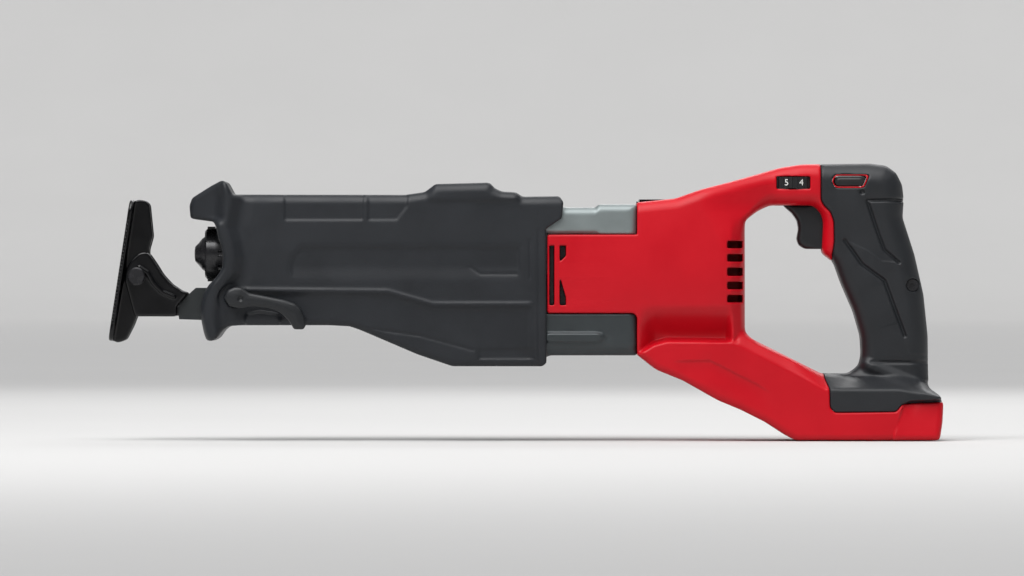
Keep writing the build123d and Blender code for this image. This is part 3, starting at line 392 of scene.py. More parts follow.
def finish_piece(piece, slot, body, *nodes):
    """Gives a piece its material and its body, and hides the CAD nodes it stands in for."""
    piece.data.materials.clear()
    piece.data.materials.append(MATERIALS[slot])
    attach(piece, body)
    if nodes:
        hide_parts(*nodes)


# ---------------------------------------------------------------- handle and barrel
FRONT_X = 254.9  # the flat front of the barrel
MOTOR_Z = -14.6  # the height of the motor's axis
FOOT_Z = -107
HANDLE = [
    (195, 29.5), (254.9, 29.5), (277, 31.8), (291.4, 36.9), (309.4, 41.6), (337.7, 49.7),
    (350, 51.6), (389.4, 52.2), (398.8, 51.0), (404.7, 46.8), (408.2, 39.8), (409.1, 31.5),
    (408.4, 20.9), (415.2, -0.2),
    (420.5, -23.7), (422.9, -47.1), (423.2, -77.0), (428.7, -81.2), (430.8, -85.9), (430.2, -96.5),
    (428.5, -107), (346, -107), (341.2, -104.7), (329.5, -97.1), (314.2, -89.4), (301.2, -84),
    (281.2, -72.7), (265.9, -66.5), (254.9, -57.8), (195, -57.8),
]
TONGUE = [(203.4, 11), (262, 11), (262, -34), (203.4, -34)]
OPENING = [
    (317, 19), (324.3, 24.5), (331.8, 28), (356.5, 28), (361, 23.5), (362.4, 18.6), (361.6, 0.4),
    (365.9, -2.5), (368.8, -4.9), (372.9, -16.6), (380, -33), (384.1, -47.1), (384.7, -57.7),
    (383.5, -64.2), (377.6, -68.9), (361.2, -68.9), (321.2, -48.9), (317, -45),
]
SKIN = [
    (361, 60), (361, 31), (362.6, 27.8), (366.4, 24.2), (368.4, 18.6), (368.6, 6.8), (367.4, -1.2),
    (368.4, -8), (366, -12), (362.5, -60), (362.5, -71), (365.3, -77.7), (365.5, -88.2), (368.2, -91),
    (403.3, -90.6), (407.2, -86), (440, -84.6), (440, 60),
]
GRIP_LINE_A = [(408.5, 31), (387.6, 30.8), (394, 11.6), (397.6, 2.2), (405.8, -4.9)]
GRIP_LINE_B = [(374.7, 8), (384.7, -6), (397.6, -15.4), (409.3, -47.1)]
REAR_PAD = [
    (374.7, 8), (384.7, -6), (397.6, -15.4), (409.3, -47.1), (412, -58), (440, -58), (440, 30.8),
    (387.6, 30.8), (394, 11.6), (397.6, 2.2), (405.8, -4.9), (396, -4), (388, 2),
]
HEEL = [(407.6, -86.6), (400.8, -108), (440, -108), (440, -83.4), (411, -84.6)]
LOCK_SLOT = [(367.8, 41.9), (369.6, 45.0), (388.0, 45.0), (385.2, 38.7), (369.6, 38.7)]
LOCK_RIM = 0.75  # the red rim round the lock slot
FRONT_VENTS = [
    [(204.6, 4.7), (207.4, 4.7), (207.4, -29.5), (204.6, -29.5)],
    [(210.5, 4.7), (214.1, 4.7), (214.1, -1.2), (211.2, -4.1), (210.5, -4.1)],
    [(210.5, -14.8), (211.2, -14.8), (214.1, -25.0), (214.1, -29.5), (210.5, -29.5)],
]
REAR_VENTS = [(3.1, 7.4), (-4.5, -0.2), (-12.7, -7.9), (-20.3, -16.0), (-27.9, -23.6)]
WALL = 3.0
SKIN_THICKNESS = 2.6
WIDEST = 38.0
SKIN_GAP = 0.06  # half of the seam between skin and housing
HALF_GAP = 0.08  # half of the seam between left and right
GRIP_SCREW = (413.8, -18)
HOUSING_SCREWS = [(270, 23, 34.0), (315, 34.5, 24.05), (282, -61, 34.0), (338, -84, 30.0)]


def soft_max(a, b, blend):
    """The greater of two fields, with a smooth change between them."""
    return (a + b + np.sqrt((a - b) ** 2 + blend * blend)) / 2


FOOT_WIDTH = 36.4
RIDGE_X = [250, 258, 264, 272, 309, 316, 349, 363, 405, 428, 440]
RIDGE_Z = [-58.5, -56, -52, -49.8, -50.2, -53.2, -70, -77.7, -77.7, -81.8, -81.8]


def handle_width(x, z):
    """Half width of the housing at each point of the side view."""
    shift = 12 * (1 - ramp(0, 30, z))
    barrel = 38 - 21 * ramp(290, 338, x - shift)
    barrel = barrel - np.minimum(1.6 * ((z + 10) / 30) ** 2, 4) * (1 - ramp(300, 330, x))
    # Under the barrel the side turns in before the lower arm stands out again.
    barrel = barrel - 10.5 * ramp(-29, -47, z) * ramp(255, 266, x) * (1 - ramp(306.0, 310, x))
    barrel = barrel - 0.8 * np.maximum(x - 309, 0) * (1 - ramp(8, 22, z)) * (1 - ramp(317, 322, x))
    arm = FOOT_WIDTH - 2 * ramp(288, 322, x) + 2 * ramp(336, 360, x)
    above = z - np.interp(x, RIDGE_X, RIDGE_Z)
    slope = np.interp(x, [250, 303, 313, 345, 364, 374], [14.0, 14.0, 0.8, 0.8, 1.6, 2.6])
    arm = arm - slope * np.maximum(above, 0)
    return soft_max(barrel, arm, 0.9)


def handle_rounding(x, z):
    """Radius of the long outer edges."""
    radius = 6.5 + 1.5 * ramp(300, 335, x) + 4.0 * ramp(356, 372, x)
    radius = radius + (3.5 - radius) * (1 - ramp(-80, -66, z)) * ramp(320, 350, x)
    arm = (1 - ramp(-56, -44, z)) * (1 - ramp(330, 360, x))
    return radius + (4.0 - radius) * arm


def opening_rounding(x, z):
    """Radius of the edges round the hand opening: full on the grip, crisp on the lower arm."""
    low = 1 - ramp(-62, -44, z - 0.25 * np.maximum(345 - x, 0))
    return 7.5 - 5.3 * low * (1 - ramp(372, 384, x)) - 4.0 * (1 - low) * (1 - ramp(318, 330, x))


def handle_fields(block):
    """The handle as a solid, and the outline of its soft skin."""
    x, z = block.x, block.z
    samples = 1.0 / block.step
    outline = blur(polygon_field(x, z, HANDLE), 1.1 * samples)
    opening = blur(polygon_field(x, z, OPENING), 1.6 * samples)
    width = blur(handle_width(x, z), 0.7 * samples)
    radius = blur(handle_rounding(x, z), 3 * samples)
    hole_radius = blur(opening_rounding(x, z), 3 * samples)
    skin = blur(polygon_field(x, z, SKIN), 0.8 * samples)

    # Relief of the side faces.
    edge_groove = groove(skin, 0.9, 0.6)
    lines = groove(path_field(x, z, GRIP_LINE_A), 1.4, 1.5)
    lines = lines + groove(path_field(x, z, GRIP_LINE_B), 1.5, 1.6)
    dimple = 1.3 * (1 - ramp(0.7, 1.9, np.hypot(x - 384.7, z - 35.7)))
    rear_pad = 0.35 * (1 - ramp(-0.7, 0.7, polygon_field(x, z, REAR_PAD)))
    drop = np.interp(x, [276, 297, 323.2, 331.8], [-61.6, -61.3, -74.7, -80]) - z
    arm_panel = 0.8 * ramp(-0.6, 0.6, drop) * (1 - ramp(3, 14, drop))
    arm_panel = arm_panel * ramp(274, 284, x) * (1 - ramp(322, 334, x))
    heel_rise = 1.6 - 0.18 * (z - FOOT_Z) - 0.06 * (x - 405)
    heel = heel_rise * (1 - ramp(-0.5, 0.5, polygon_field(x, z, HEEL)))
    step_lines = groove(path_field(x, z, [(390, -62.2), (422, -62.6)]), 1.6, 0.8)
    flare = 2.0 * (1 - ramp(0.5, 5.0, path_field(x, z, [(386, -63), (398, -68), (428, -80.5)])))
    width = width - edge_groove - lines - dimple + rear_pad - arm_panel + heel - step_lines + flare
    width = np.minimum(width, WIDEST)

    body = round_both(block.deep(outline), side_field(block, width), block.deep(radius))
    body = round_both(body, block.deep(-opening), block.deep(hole_radius))
    # The barrel starts at a flat front, with a tongue on each side over the gearcase.
    corner = 0.6 + 2.8 * (1 - ramp(-16, -8, z))
    front = round_either(blur(polygon_field(x, z, TONGUE), 0.5 * samples), FRONT_X - x, corner)
    front = np.minimum(block.deep(FRONT_X - x), block.beyond(front, 33.6))
    return round_both(body, front, 0.9), skin


def half_span(side_sign):
    """The range across the saw that holds one half."""
    return (-39.5, 0.6) if side_sign < 0 else (-0.6, 39.5)


def lock_slot_field(block):
    """The slot that the lock slider moves in."""
    return blur(polygon_field(block.x, block.z, LOCK_SLOT), 0.8 / block.step)


def trigger_room(block):
    """The space for the trigger and its switch."""
    return block.within(box_field(block.x, block.z, (335.3, 385), (2.2, 29.4)), 8.0)


def housing_half(name, side_sign, step):
    """One half of the red housing, open inside, with its tongue over the gearcase."""
    block = Block((201, 433), half_span(side_sign), (-109.5, 54.5), step)
    x, z, y = block.x, block.z, block.y
    body, skin = handle_fields(block)
    hollow = np.maximum(body + WALL, block.deep(262 - x))
    solid = np.maximum(body, -hollow)
    # A rib on the middle plane stands behind the rear vents.
    rib = block.within(box_field(x, z, (299, 319), (-34, 14)), 1.5)
    solid = np.minimum(solid, np.maximum(rib, body + 1.0))
    motor_bore = block.from_long_axis(MOTOR_Z) - 29.8
    solid = np.maximum(solid, -np.maximum(motor_bore, block.deep(x - 264)))
    # Seams towards the soft skin and between the two halves.
    slot = lock_slot_field(block)
    covered = np.maximum(skin, LOCK_RIM - slot)
    solid = round_both(solid, block.deep(-covered) + SKIN_GAP, 0.35)
    seam = HALF_GAP - side_sign * y
    solid = round_both(solid, seam, 0.45)
    # Vents, dial window and lock slot.
    cuts = [polygon_field(x, z, outline) for outline in FRONT_VENTS]
    cuts += [box_field(x, z, (306.5, 315.4), span, 0.6) for span in REAR_VENTS]
    cuts += [box_field(x, z, (335.4, 354.8), (37.4, 44.7), 0.5), slot]
    solid = round_both(solid, -block.beyond(np.minimum.reduce(cuts), 2.4), 0.4)
    solid = np.maximum(solid, -trigger_room(block))
    dial_room = np.sqrt((block.x3 - 345) ** 2 + y ** 2) - 18.0
    dial_room = np.maximum(dial_room, np.abs(block.z3 - 41.05) - 3.6)
    lock_room = block.within(box_field(x, z, (367.5, 388), (38.5, 45.3)), 14.5)
    solid = np.maximum(solid, -np.minimum(dial_room, lock_room))
    battery_bay = block.within(box_field(x, z, (352, 450), (-120, -93)), 30)
    solid = round_both(solid, -battery_bay, 0.6)
    hook_seat = np.maximum(block.deep(box_field(x, z, (256.2, 273.8), (29.1, 60))), -12.3 - y)
    solid = np.maximum(solid, -hook_seat)
    if side_sign < 0:
        screw = block.from_cross_axis(*GRIP_SCREW) - 3.7
        solid = np.maximum(solid, -np.maximum(screw, y + 12.4))
    for centre_x, centre_z, head_y in HOUSING_SCREWS if side_sign > 0 else ():
        radial = block.from_cross_axis(centre_x, centre_z)
        boss = np.maximum(np.maximum(radial - 5.0, body + 0.5), seam)
        solid = np.minimum(solid, boss)
        solid = round_both(solid, -np.maximum(radial - 3.6, head_y - 0.2 - y), 0.4)
    return sculpt(name, block, solid)


def skin_half(name, side_sign, step):
    """One half of the soft black skin over grip and foot."""
    block = Block((358, 433), half_span(side_sign), (-93, 54.5), step)
    body, skin = handle_fields(block)
    solid = np.maximum(body, -(body + SKIN_THICKNESS))
    covered = np.maximum(skin, LOCK_RIM - lock_slot_field(block))
    solid = round_both(solid, block.deep(covered) + SKIN_GAP, 0.35)
    solid = round_both(solid, HALF_GAP - side_sign * block.y, 0.45)
    solid = np.maximum(solid, -trigger_room(block))
    if side_sign < 0:
        solid = round_both(solid, 3.7 - block.from_cross_axis(*GRIP_SCREW), 0.7)
    return sculpt(name, block, solid)


SHELL_STEP = 0.62
for word, sign in (("left", -1), ("right", 1)):
    shell = housing_half(f"{word}_housing_shell", sign, SHELL_STEP)
    finish_piece(shell, "housing_shell", "tool_body", f"{word}_housing")
    skin_piece = skin_half(f"{word}_grip_skin", sign, SHELL_STEP)
    finish_piece(skin_piece, "soft_grip", "tool_body", f"{word}_grip")


# ---------------------------------------------------------------- front boot
BOOT = [
    (-2.4, 27.9), (-0.8, 32.2), (10.4, 39.1), (16.4, 42.2), (19, 41.6), (23, 34.1), (122, 33.9),
    (133.3, 35.5), (139.3, 40.1), (170.5, 40.9), (173.2, 37.8), (177.4, 35.8), (185.6, 35.3),
    (189.3, 32.8), (230, 33.3), (230, -64.5), (148.9, -64.5), (128.7, -57.6), (96.6, -43.9),
    (90, -41.6), (78, -41), (27.6, -41), (20.4, -41.5),
    (17.7, -43.5), (14.4, -48.1), (11.1, -50.1), (7.8, -49.8), (6.2, -45.5), (4.6, -37.5), (4.1, -31),
    (6.2, -22.3), (9.1, -17.7), (13.8, -13.1), (17, -7.8), (17, 2.1), (14.7, 8.7), (13.4, 15.3),
    (11.7, 18.6), (-1.8, 20.3),
]
LIP_LINE = [
    (16.4, 43), (20.5, 34), (18.5, 24), (17.2, 15), (20, 6), (21.5, -2), (20.5, -9), (15, -17),
    (10.5, -24), (8.8, -32), (9.6, -41), (12, -51),
]
STRIP_TWO = [(101, 45), (101, 19.7), (117, 19.7), (123, 27.5), (123, 45)]
BEAN = [
    (29.3, -46), (29.1, -37.3), (30.3, -33.9), (38.8, -32.4), (48.9, -33.9), (51.4, -37.2), (51, -46),
]
PANEL = [(54.7, -6), (56.5, -0.5), (62.3, 5), (189, 5), (189, -18.5), (60, -18.5), (55.5, -13)]
REAR_EDGE = [
    (-50, 60), (209, 60), (210.4, 33.3), (212.7, 29.6), (211.8, 20.4), (202.8, 14.4), (203, -62.5),
    (201, -64.5), (200, -80), (-50, -80),
]
LEVER_PIVOT_X, LEVER_PIVOT_Z = 23.4, -25.7
CASE_FRONT = 42


def widening(x):
    """How far the gearcase and the boot have widened: 0 at the front, 1 at the boot's rear."""
    return np.clip((x - CASE_FRONT) / 161, 0, 1)


def boot_piece(step):
    """The soft boot over the gearcase, with its hood, its flared mouth and its relief."""
    block = Block((-6, 216), (-41.5, 41.5), (-67.5, 44.5), step)
    x, z, y = block.x, block.z, block.y
    samples = 1.0 / step
    outline = blur(polygon_field(x, z, BOOT), 0.9 * samples)
    rear = blur(polygon_field(x, z, REAR_EDGE), 0.5 * samples)
    plan = 31.0 + 8.2 * widening(x)
    plan = plan - 7.0 * (1 - ramp(-4, 14, x))
    lip = path_field(x, z, LIP_LINE)
    behind_lip = 0.9 * ramp(6.0, 9.5, lip) * (1 - ramp(10, 16, lip)) * ramp(16, 22, x)
    flare = 3.4 * (1 - ramp(1.5, 8.0, lip)) - behind_lip
    panel = polygon_field(x, z, PANEL)
    relief = (1.2 * (1 - ramp(-3.0, 0.2, panel)) + groove(panel, 0.9, 0.3)) * ramp(-17, -6, z)
    end_lines = groove(path_field(x, z, [(193.5, 8), (193.5, -14)]), 0.9, 0.6)
    bracket = groove(path_field(x, z, [(159, -7.4), (165, -11.6), (186, -11.6)]), 0.9, 0.6)
    ridge_z = np.interp(x, [28, 112, 138, 190], [-20.2, -21.0, -28.4, -28.4])
    below = ridge_z - z
    on_side = ramp(24, 34, x) * (1 - ramp(192, 197, x))
    ridge = (0.9 * (1 - ramp(0.2, 2.2, np.abs(below - 0.6))) - 1.3 * ramp(0.5, 5.0, below)) * on_side
    rear_groove = groove(path_field(x, z, [(103, -43), (131, -47), (161, -55.2)]), 1.0, 0.7)
    rear_panel = 0.7 * (1 - ramp(-0.5, 0.5, box_field(x, z, (164, 196), (-60.4, -54.4), 1)))
    strips = np.minimum(box_field(x, z, (53, 97.5), (19.7, 45), 0.6), polygon_field(x, z, STRIP_TWO))
    top_relief = 0.7 * (1 - ramp(-0.5, 0.5, strips)) + groove(strips, 0.8, 0.35)
    cap = 1.2 * ramp(133, 139, x) * (1 - ramp(185, 190, x)) * ramp(29, 32, z)
    bean = blur(polygon_field(x, z, BEAN), 1.0 * samples)
    boss = 2.8 * (1 - ramp(-1.8, 0.3, bean))
    flange = groove(path_field(x, z, [(198.6, 14), (198.6, -64)]), 1.0, 0.6)
    width = plan + flare - relief - end_lines - bracket + ridge - rear_groove - rear_panel
    width = width - top_relief + cap + boss - flange
    width = width - 1.3 * ramp(-5, 45, z) - 0.8 * (1 - ramp(-60, -5, z))
    hood = 1 - ramp(12, 20, x)
    width = width * (1 - hood * ramp(16, 22, z)) + (19 + 0.45 * (x + 4)) * hood * ramp(16, 22, z)
    width = np.minimum(blur(width, 0.5 * samples), 39.15)
    radius = 3.0 + 2.5 * ramp(20, 34, x) - 1.5 * (1 - ramp(-36, -28, z)) * ramp(20, 34, x)
    radius = blur(radius, 2 * samples)
    body = round_both(block.deep(outline), side_field(block, width), block.deep(radius))
    body = round_both(body, block.deep(rear), 1.2)
    # Room for the gearcase, open behind.
    case_bottom = np.interp(x, [80, 97, 129, 149], [-37.9, -40.8, -54.6, -61.3])
    case_room = np.abs(y) - (26.3 + 8.5 * widening(block.x3))
    case_room = round_both(case_room, block.z3 - 28.8, 5.5)
    case_room = round_both(case_room, block.deep(case_bottom) - block.z3, 5.5)
    body = np.maximum(body, -np.maximum(case_room, CASE_FRONT - block.x3))
    # Mouth round the blade clamp, the shoe guide below it and the lamp above it.
    mouth = np.maximum(np.sqrt((y / 1.18) ** 2 + block.z3 ** 2) - 19.0, block.x3 - 43)
    guide = np.maximum(np.maximum(np.abs(y) - 17.0, np.abs(block.z3 + 26) - 14.5), block.x3 - 43)
    lamp = np.maximum(np.abs(y) - 8.6, np.abs(block.z3 - 22.5) - 7.2)
    lamp = np.maximum(lamp, np.abs(block.x3 - 20) - 15)
    inside = round_either(mouth, guide, 3.0)
    body = round_both(body, -np.minimum(inside, lamp), 1.6)
    # The bore and the shallow dish of the release lever, on the left.
    pivot = block.from_cross_axis(LEVER_PIVOT_X, LEVER_PIVOT_Z)
    body = np.maximum(body, -np.maximum(pivot - 4.8, y))
    dish = np.maximum(pivot - 8.6, y + 31.2)
    body = round_both(body, -dish, 0.8)
    return sculpt("front_boot_rubber", block, body, keep=0.3)


boot = boot_piece(0.6)
finish_piece(boot, "boot_rubber", "tool_body", "front_boot")


# ---------------------------------------------------------------- gearcase halves
CASE_TOP = 28.4
SPLIT_Z = -12  # where the two halves meet
DRIVE_Z = -37  # the height of the wobble shaft's axis


def case_half(name, slot, upper, step):
    """A cast half of the gearcase, with the motor bell and the chamber of the drive."""
    z_range = (-13.5, 31) if upper else (-63.5, -10.5)
    block = Block((40.5, 257.5), (-38.5, 38.5), z_range, step)
    x, z, y = block.x, block.z, block.y
    samples = 1.0 / step
    bottom = np.interp(x, [80, 97, 129, 149, 200, 205], [-37.4, -40.3, -54.1, -60.8, -60.8, -58.3])
    outline = np.maximum(np.maximum(42.2 - x, x - 254.8), np.maximum(z - CASE_TOP, bottom - z))
    step_down = 1.8 * ramp(210.8, 213.2, x) * (1 - ramp(230.8, 233.2, x))
    outline = np.maximum(outline, z - CASE_TOP + step_down)
    outline = blur(outline, 0.6 * samples)
    width = 27.3 + 8.7 * widening(x) - 1.6 * (1 - ramp(197, 201, x))
    foot_line = 1.6 * (1 - ramp(11.6, 13.6, z)) * ramp(-12, -11, z) * (1 - ramp(231, 235, x))
    rib = 3.0 * (1 - ramp(-0.2, 2.0, np.abs(z + 48) - 1.4))
    rib = rib * (1 - ramp(231, 238, x)) * ramp(202, 204, x)
    arrow = groove(path_field(x, z, [(233, -45), (239, -48), (233, -51)]), 1.0, 0.5)
    turned_in = 2.4 * (1 - ramp(-60, -51, z)) * ramp(202, 204, x)
    width = blur(width + rib - foot_line - arrow - turned_in, 0.5 * samples)
    width = np.minimum(width, WIDEST)
    body = round_both(block.deep(outline), side_field(block, width), 5.0)
    # A pocket for the housing's tongue, and the vents at its bottom.
    tongue_pocket = block.beyond(np.maximum(202 - x, np.abs(z + 11.5) - 22.8), 33.3)
    body = np.maximum(body, -tongue_pocket)
    slots = np.minimum.reduce([polygon_field(x, z, outline) for outline in FRONT_VENTS])
    body = np.maximum(body, -block.beyond(slots, 30.6))
    # Rooms for the spindle, the motor and the drive.
    bore_radius = np.interp(block.x3, [48, 48.1, 50, 50.1, 70, 70.1, 106, 106.1, 126, 126.1],
                            [12, 8.6, 8.6, 12, 12, 8.6, 8.6, 12, 12, 8.6])
    spindle_bore = np.maximum(block.from_long_axis(0) - bore_radius, block.x3 - 189)
    from_motor = block.from_long_axis(MOTOR_Z)
    bell = np.maximum(from_motor - 29.5, 198 - block.x3)
    chamber = np.maximum(np.maximum(134.5 - block.x3, block.x3 - 189), np.abs(y) - 27)
    floor = np.interp(block.x3, [134.5, 150], [-52.5, -58.2])
    chamber = np.maximum(chamber, np.maximum(floor - block.z3, block.z3 - 22))
    front_room = np.maximum(np.abs(y) - 17, np.abs(block.z3) - 20)
    front_room = np.maximum(np.abs(block.x3 - 88.5) - 14.5, front_room)
    guide_room = np.maximum(np.maximum(block.x3 - 62, np.abs(y) - 16.2), block.z3 + 19.3)
    shaft_room = np.maximum(block.from_long_axis(DRIVE_Z) - 8, np.abs(block.x3 - 161.5) - 33.5)
    motor_seat = np.maximum(from_motor - 11, np.abs(block.x3 - 194.5) - 6.5)
    for room in (spindle_bore, bell, chamber, front_room, guide_room, shaft_room, motor_seat):
        body = np.maximum(body, -room)
    half = SPLIT_Z - block.z3 if upper else block.z3 - SPLIT_Z
    body = round_both(body, half + 0.06, 0.3)
    piece = sculpt(name, block, body, keep=0.3)
    finish_piece(piece, slot, "tool_body", "upper_gearcase" if upper else "lower_gearcase")


def vent_screens(step):
    """Dark woven sheets at the bottom of the front vents, as painted shade inside the vents."""
    block = Block((203, 216), (-33, 33), (-31, 7), step)
    slots = np.minimum.reduce([polygon_field(block.x, block.z, outline) for outline in FRONT_VENTS])
    weave = 0.25 * np.cos(block.z * 3.0) * np.cos(block.x * 3.0)
    sheet = np.abs(np.abs(block.y) - 31.0 - block.deep(weave)) - 0.7
    screen = np.maximum(block.deep(slots - 0.4), sheet)
    piece = sculpt("vent_screens", block, screen, keep=0.6)
    finish_piece(piece, "black_plastic", "tool_body")


CASE_STEP = 0.75
# The upper half takes the grey with painted highlight, the lower half the grey with painted shade.
case_half("upper_case", "case_light", True, CASE_STEP)
case_half("lower_case", "case_dark", False, CASE_STEP)
vent_screens(0.6)


# ---------------------------------------------------------------- shoe, post and lever
PIVOT_X, PIVOT_Z = -33.0, -12.9  # the axis the shoe tilts about
SHOE_LEAN = math.radians(8.7)
CHEEK = [
    (-9.6, 38.5), (-8.6, 42.0), (-5.7, 43.9), (-1.2, 43.9), (1.1, 42.0), (5.7, 24.2), (4.7, 16.0),
    (7.3, 4.0), (7.3, -6.0), (2.4, -28.4), (-0.4, -36.9), (-5.2, -39.6), (-8.6, -38.2), (-9.6, -35.0),
]
FORK = [
    (-34, -36), (-39.8, -15), (-39.2, -9.6), (-36.4, -4.0), (-31.5, 0.6), (-27.6, 1.2), (-25.6, 0.0),
    (-22.0, -5.2), (-17.8, -11.9), (-12.7, -17.4), (-7.0, -21.2), (-2.6, -22.3), (-9.7, -30.1),
    (-9.7, -36),
]
FORK_RIB_LINE = [(-31.2, -8.0), (-26.6, -10.9), (-23.4, -16.6), (-18.2, -22.0), (-11.5, -24.8)]
TRIGGER = [
    (338.2, 28.9), (344.6, 23.6), (347.6, 19.2), (348.4, 14.3), (347.3, 8.6), (348.6, 5), (352.2, 2.9),
    (376.8, 2.9), (376.8, 28.9),
]
LEVER = [
    (24.2, -19.0), (28.0, -19.2), (32.6, -22.4), (42.9, -24.4), (53.2, -26.5), (59.2, -28.6),
    (62.4, -31.6), (64.3, -35.9), (65.3, -40.5), (63.8, -43.4), (58.2, -43.3), (56.0, -39.2),
    (51.1, -34.1), (46.5, -32.0), (42.9, -31.0), (35.0, -30.2), (27.5, -31.2), (21.3, -30.2),
    (18.2, -25.2), (20.2, -20.9),
]


def shoe_to_world(points):
    """From the shoe's own frame, leaning about its pivot, to the saw's frame."""
    u, v = points[:, 0].copy(), points[:, 2].copy()
    points[:, 0] = PIVOT_X + u * math.cos(SHOE_LEAN) + v * math.sin(SHOE_LEAN)
    points[:, 2] = PIVOT_Z - u * math.sin(SHOE_LEAN) + v * math.cos(SHOE_LEAN)
    return points


def shoe_piece(step):
    """The pressed shoe: a slotted, toothed face and two cheeks on the pivot."""
    block = Block((-12.5, 9), (-20, 20), (-42, 46), step)
    u, v, y = block.x, block.z, block.y
    cheek_side = block.deep(blur(polygon_field(u, v, CHEEK), 0.9 / step))
    cheeks = round_both(cheek_side, np.abs(np.abs(y) - 9.3) - 1.5, 0.9)
    across = np.abs(y) + 0 * block.x3 * block.z3
    height = block.z3 - 2.0
    corner = np.hypot(np.maximum(across - 11.5, 0), np.maximum(np.abs(height) - 34.0, 0)) - 7
    face = round_both(corner, np.abs(block.x3 + 9.1) - 1.3, 1.1)
    slot = np.hypot(np.maximum(across - 0.5, 0), np.maximum(np.abs(block.z3 - 6) - 19.5, 0)) - 3.5
    face = round_both(face, -slot, 0.8)
    teeth = np.abs((block.z3 + 28) % 4 - 2) - 0.9
    teeth = np.maximum(teeth, 17.2 - across)
    teeth = np.maximum(teeth, np.maximum(block.x3 + 9.3, np.abs(height) - 31))
    face = round_both(face, -teeth, 0.3)
    shoe = round_either(face, cheeks, 1.4)
    bore = np.hypot(block.x3, block.z3) - 3.6
    return sculpt("shoe_pressing", block, round_both(shoe, -bore, 0.3), place=shoe_to_world)


def post_piece(step):
    """The flat bar of the shoe with its forked, ribbed head."""
    block = Block((-42, 94), (-18, 18), (-38, 4), step)
    x, z, y = block.x, block.z, block.y
    fork_side = block.deep(blur(polygon_field(x, z, FORK), 0.9 / step))
    plates = round_both(fork_side, np.abs(np.abs(y) - 13.3) - 1.7, 1.0)
    rib = block.deep(path_field(x, z, FORK_RIB_LINE) - 1.1)
    rib = round_both(rib, np.abs(np.abs(y) - 15.0) - 1.0, 0.6)
    web = round_both(np.abs(y) - 12.4, np.abs(block.z3 + 29) - 7, 0.8)
    web = round_both(np.abs(block.x3 + 15.3) - 4.7, web, 0.8)
    bar = round_both(np.abs(y) - 9.0, np.abs(block.z3 + 32.8) - 2.8, 0.6)
    bar = round_both(bar, np.abs(block.x3 - 40) - 52, 0.8)
    post = round_either(np.minimum(plates, bar), web, 0.8)
    post = round_either(post, rib, 0.6)
    bore = np.hypot(block.x3 - PIVOT_X, block.z3 - PIVOT_Z) - 3.5
    return sculpt("shoe_post_forging", block, np.maximum(post, -bore))


def lever_piece(step):
    """The release lever: a pebble-smooth paddle with a dimple beside its pivot."""
    block = Block((14, 67), (-42, -32), (-46, -16), step)
    x, z, y = block.x, block.z, block.y
    outline = blur(polygon_field(x, z, LEVER), 0.7 / step)
    crown = 0.7 * ramp(0, 5.0, -outline)
    dimple = 1.1 * (1 - ramp(0.6, 2.2, np.hypot(x - 27.6, z + 25.6)))
    rise = -38.9 - crown + dimple
    paddle = round_both(block.deep(outline), block.deep(rise) - y, 1.7)
    paddle = round_both(paddle, y + 34.6, 0.5)
    bore = np.hypot(block.x3 - LEVER_PIVOT_X, block.z3 - LEVER_PIVOT_Z) - 2.6
    paddle = np.maximum(paddle, -np.maximum(bore, -38.2 - y))
    return sculpt("release_lever_paddle", block, paddle, keep=0.6)


def lock_piece(step):
    """The lock slider, as long as the handle is wide, with a finger ridge at each end."""
    play, middle_y, half_length = 0.35, 2.25, 17.6
    block = Block((365, 391), (-18, 22), (36, 48), step)
    side = blur(polygon_field(block.x, block.z, LOCK_SLOT) + play, 0.8 / step)
    ridge = 0.5 * (1 - ramp(0.5, 1.2, np.abs(block.z - 43.2))) * (1 - ramp(-1.8, -1.0, side))
    ends = np.abs(block.y - middle_y) - half_length - block.deep(ridge)
    return sculpt("lock_slider", block, round_both(block.deep(side), ends, 0.5), keep=0.6)


def trigger_piece(step):
    """The trigger, with a rolled front edge and a shallow finger hollow."""
    block = Block((338, 379), (-9, 9), (1, 30), step)
    side = blur(polygon_field(block.x, block.z, TRIGGER), 0.8 / step)
    rolled = 2.8 - 1.9 * ramp(352, 360, block.x)
    body = round_both(block.deep(side), np.abs(block.y) - 7.4, block.deep(rolled))
    return sculpt("trigger_lever", block, body, keep=0.6)


FINE_STEP = 0.35
finish_piece(lock_piece(FINE_STEP), "black_plastic", "lock_body", "lock_button")
finish_piece(trigger_piece(FINE_STEP), "dark_plastic", "trigger_body", "trigger")
finish_piece(shoe_piece(FINE_STEP), "black_steel", "shoe_body", "shoe_plate")
finish_piece(post_piece(FINE_STEP * 1.2), "black_steel", "post_body", "shoe_post")
finish_piece(lever_piece(FINE_STEP), "dark_plastic", "lever_body", "shoe_lever")


# ---------------------------------------------------------------- carried-over CAD nodes
for node, thing in frame["nodes"].items():
    thing.data.materials.clear()
    thing.data.materials.append(MATERIALS[slot_of[node]])

BEVELLED = {  # edge radius in millimetres
    "shoe_guide": 0.8, "blade_clamp": 0.4, "clamp_collar": 0.5, "hook_bracket": 0.4, "hang_hook": 0.7,
    "terminal_block": 0.4, "battery_rails": 0.3, "control_module": 0.5, "motor_end_plate": 0.4,
    "speed_dial": 0.25, "grip_screw": 0.2, "housing_screws": 0.2, "shoe_pins": 0.3,
}
for node, width in BEVELLED.items():
    edge = frame["nodes"][node].modifiers.new("edge", "BEVEL")
    edge.width = width * MM
    edge.segments = 2
    edge.limit_method = "ANGLE"
    edge.angle_limit = math.radians(28)
    edge.harden_normals = False


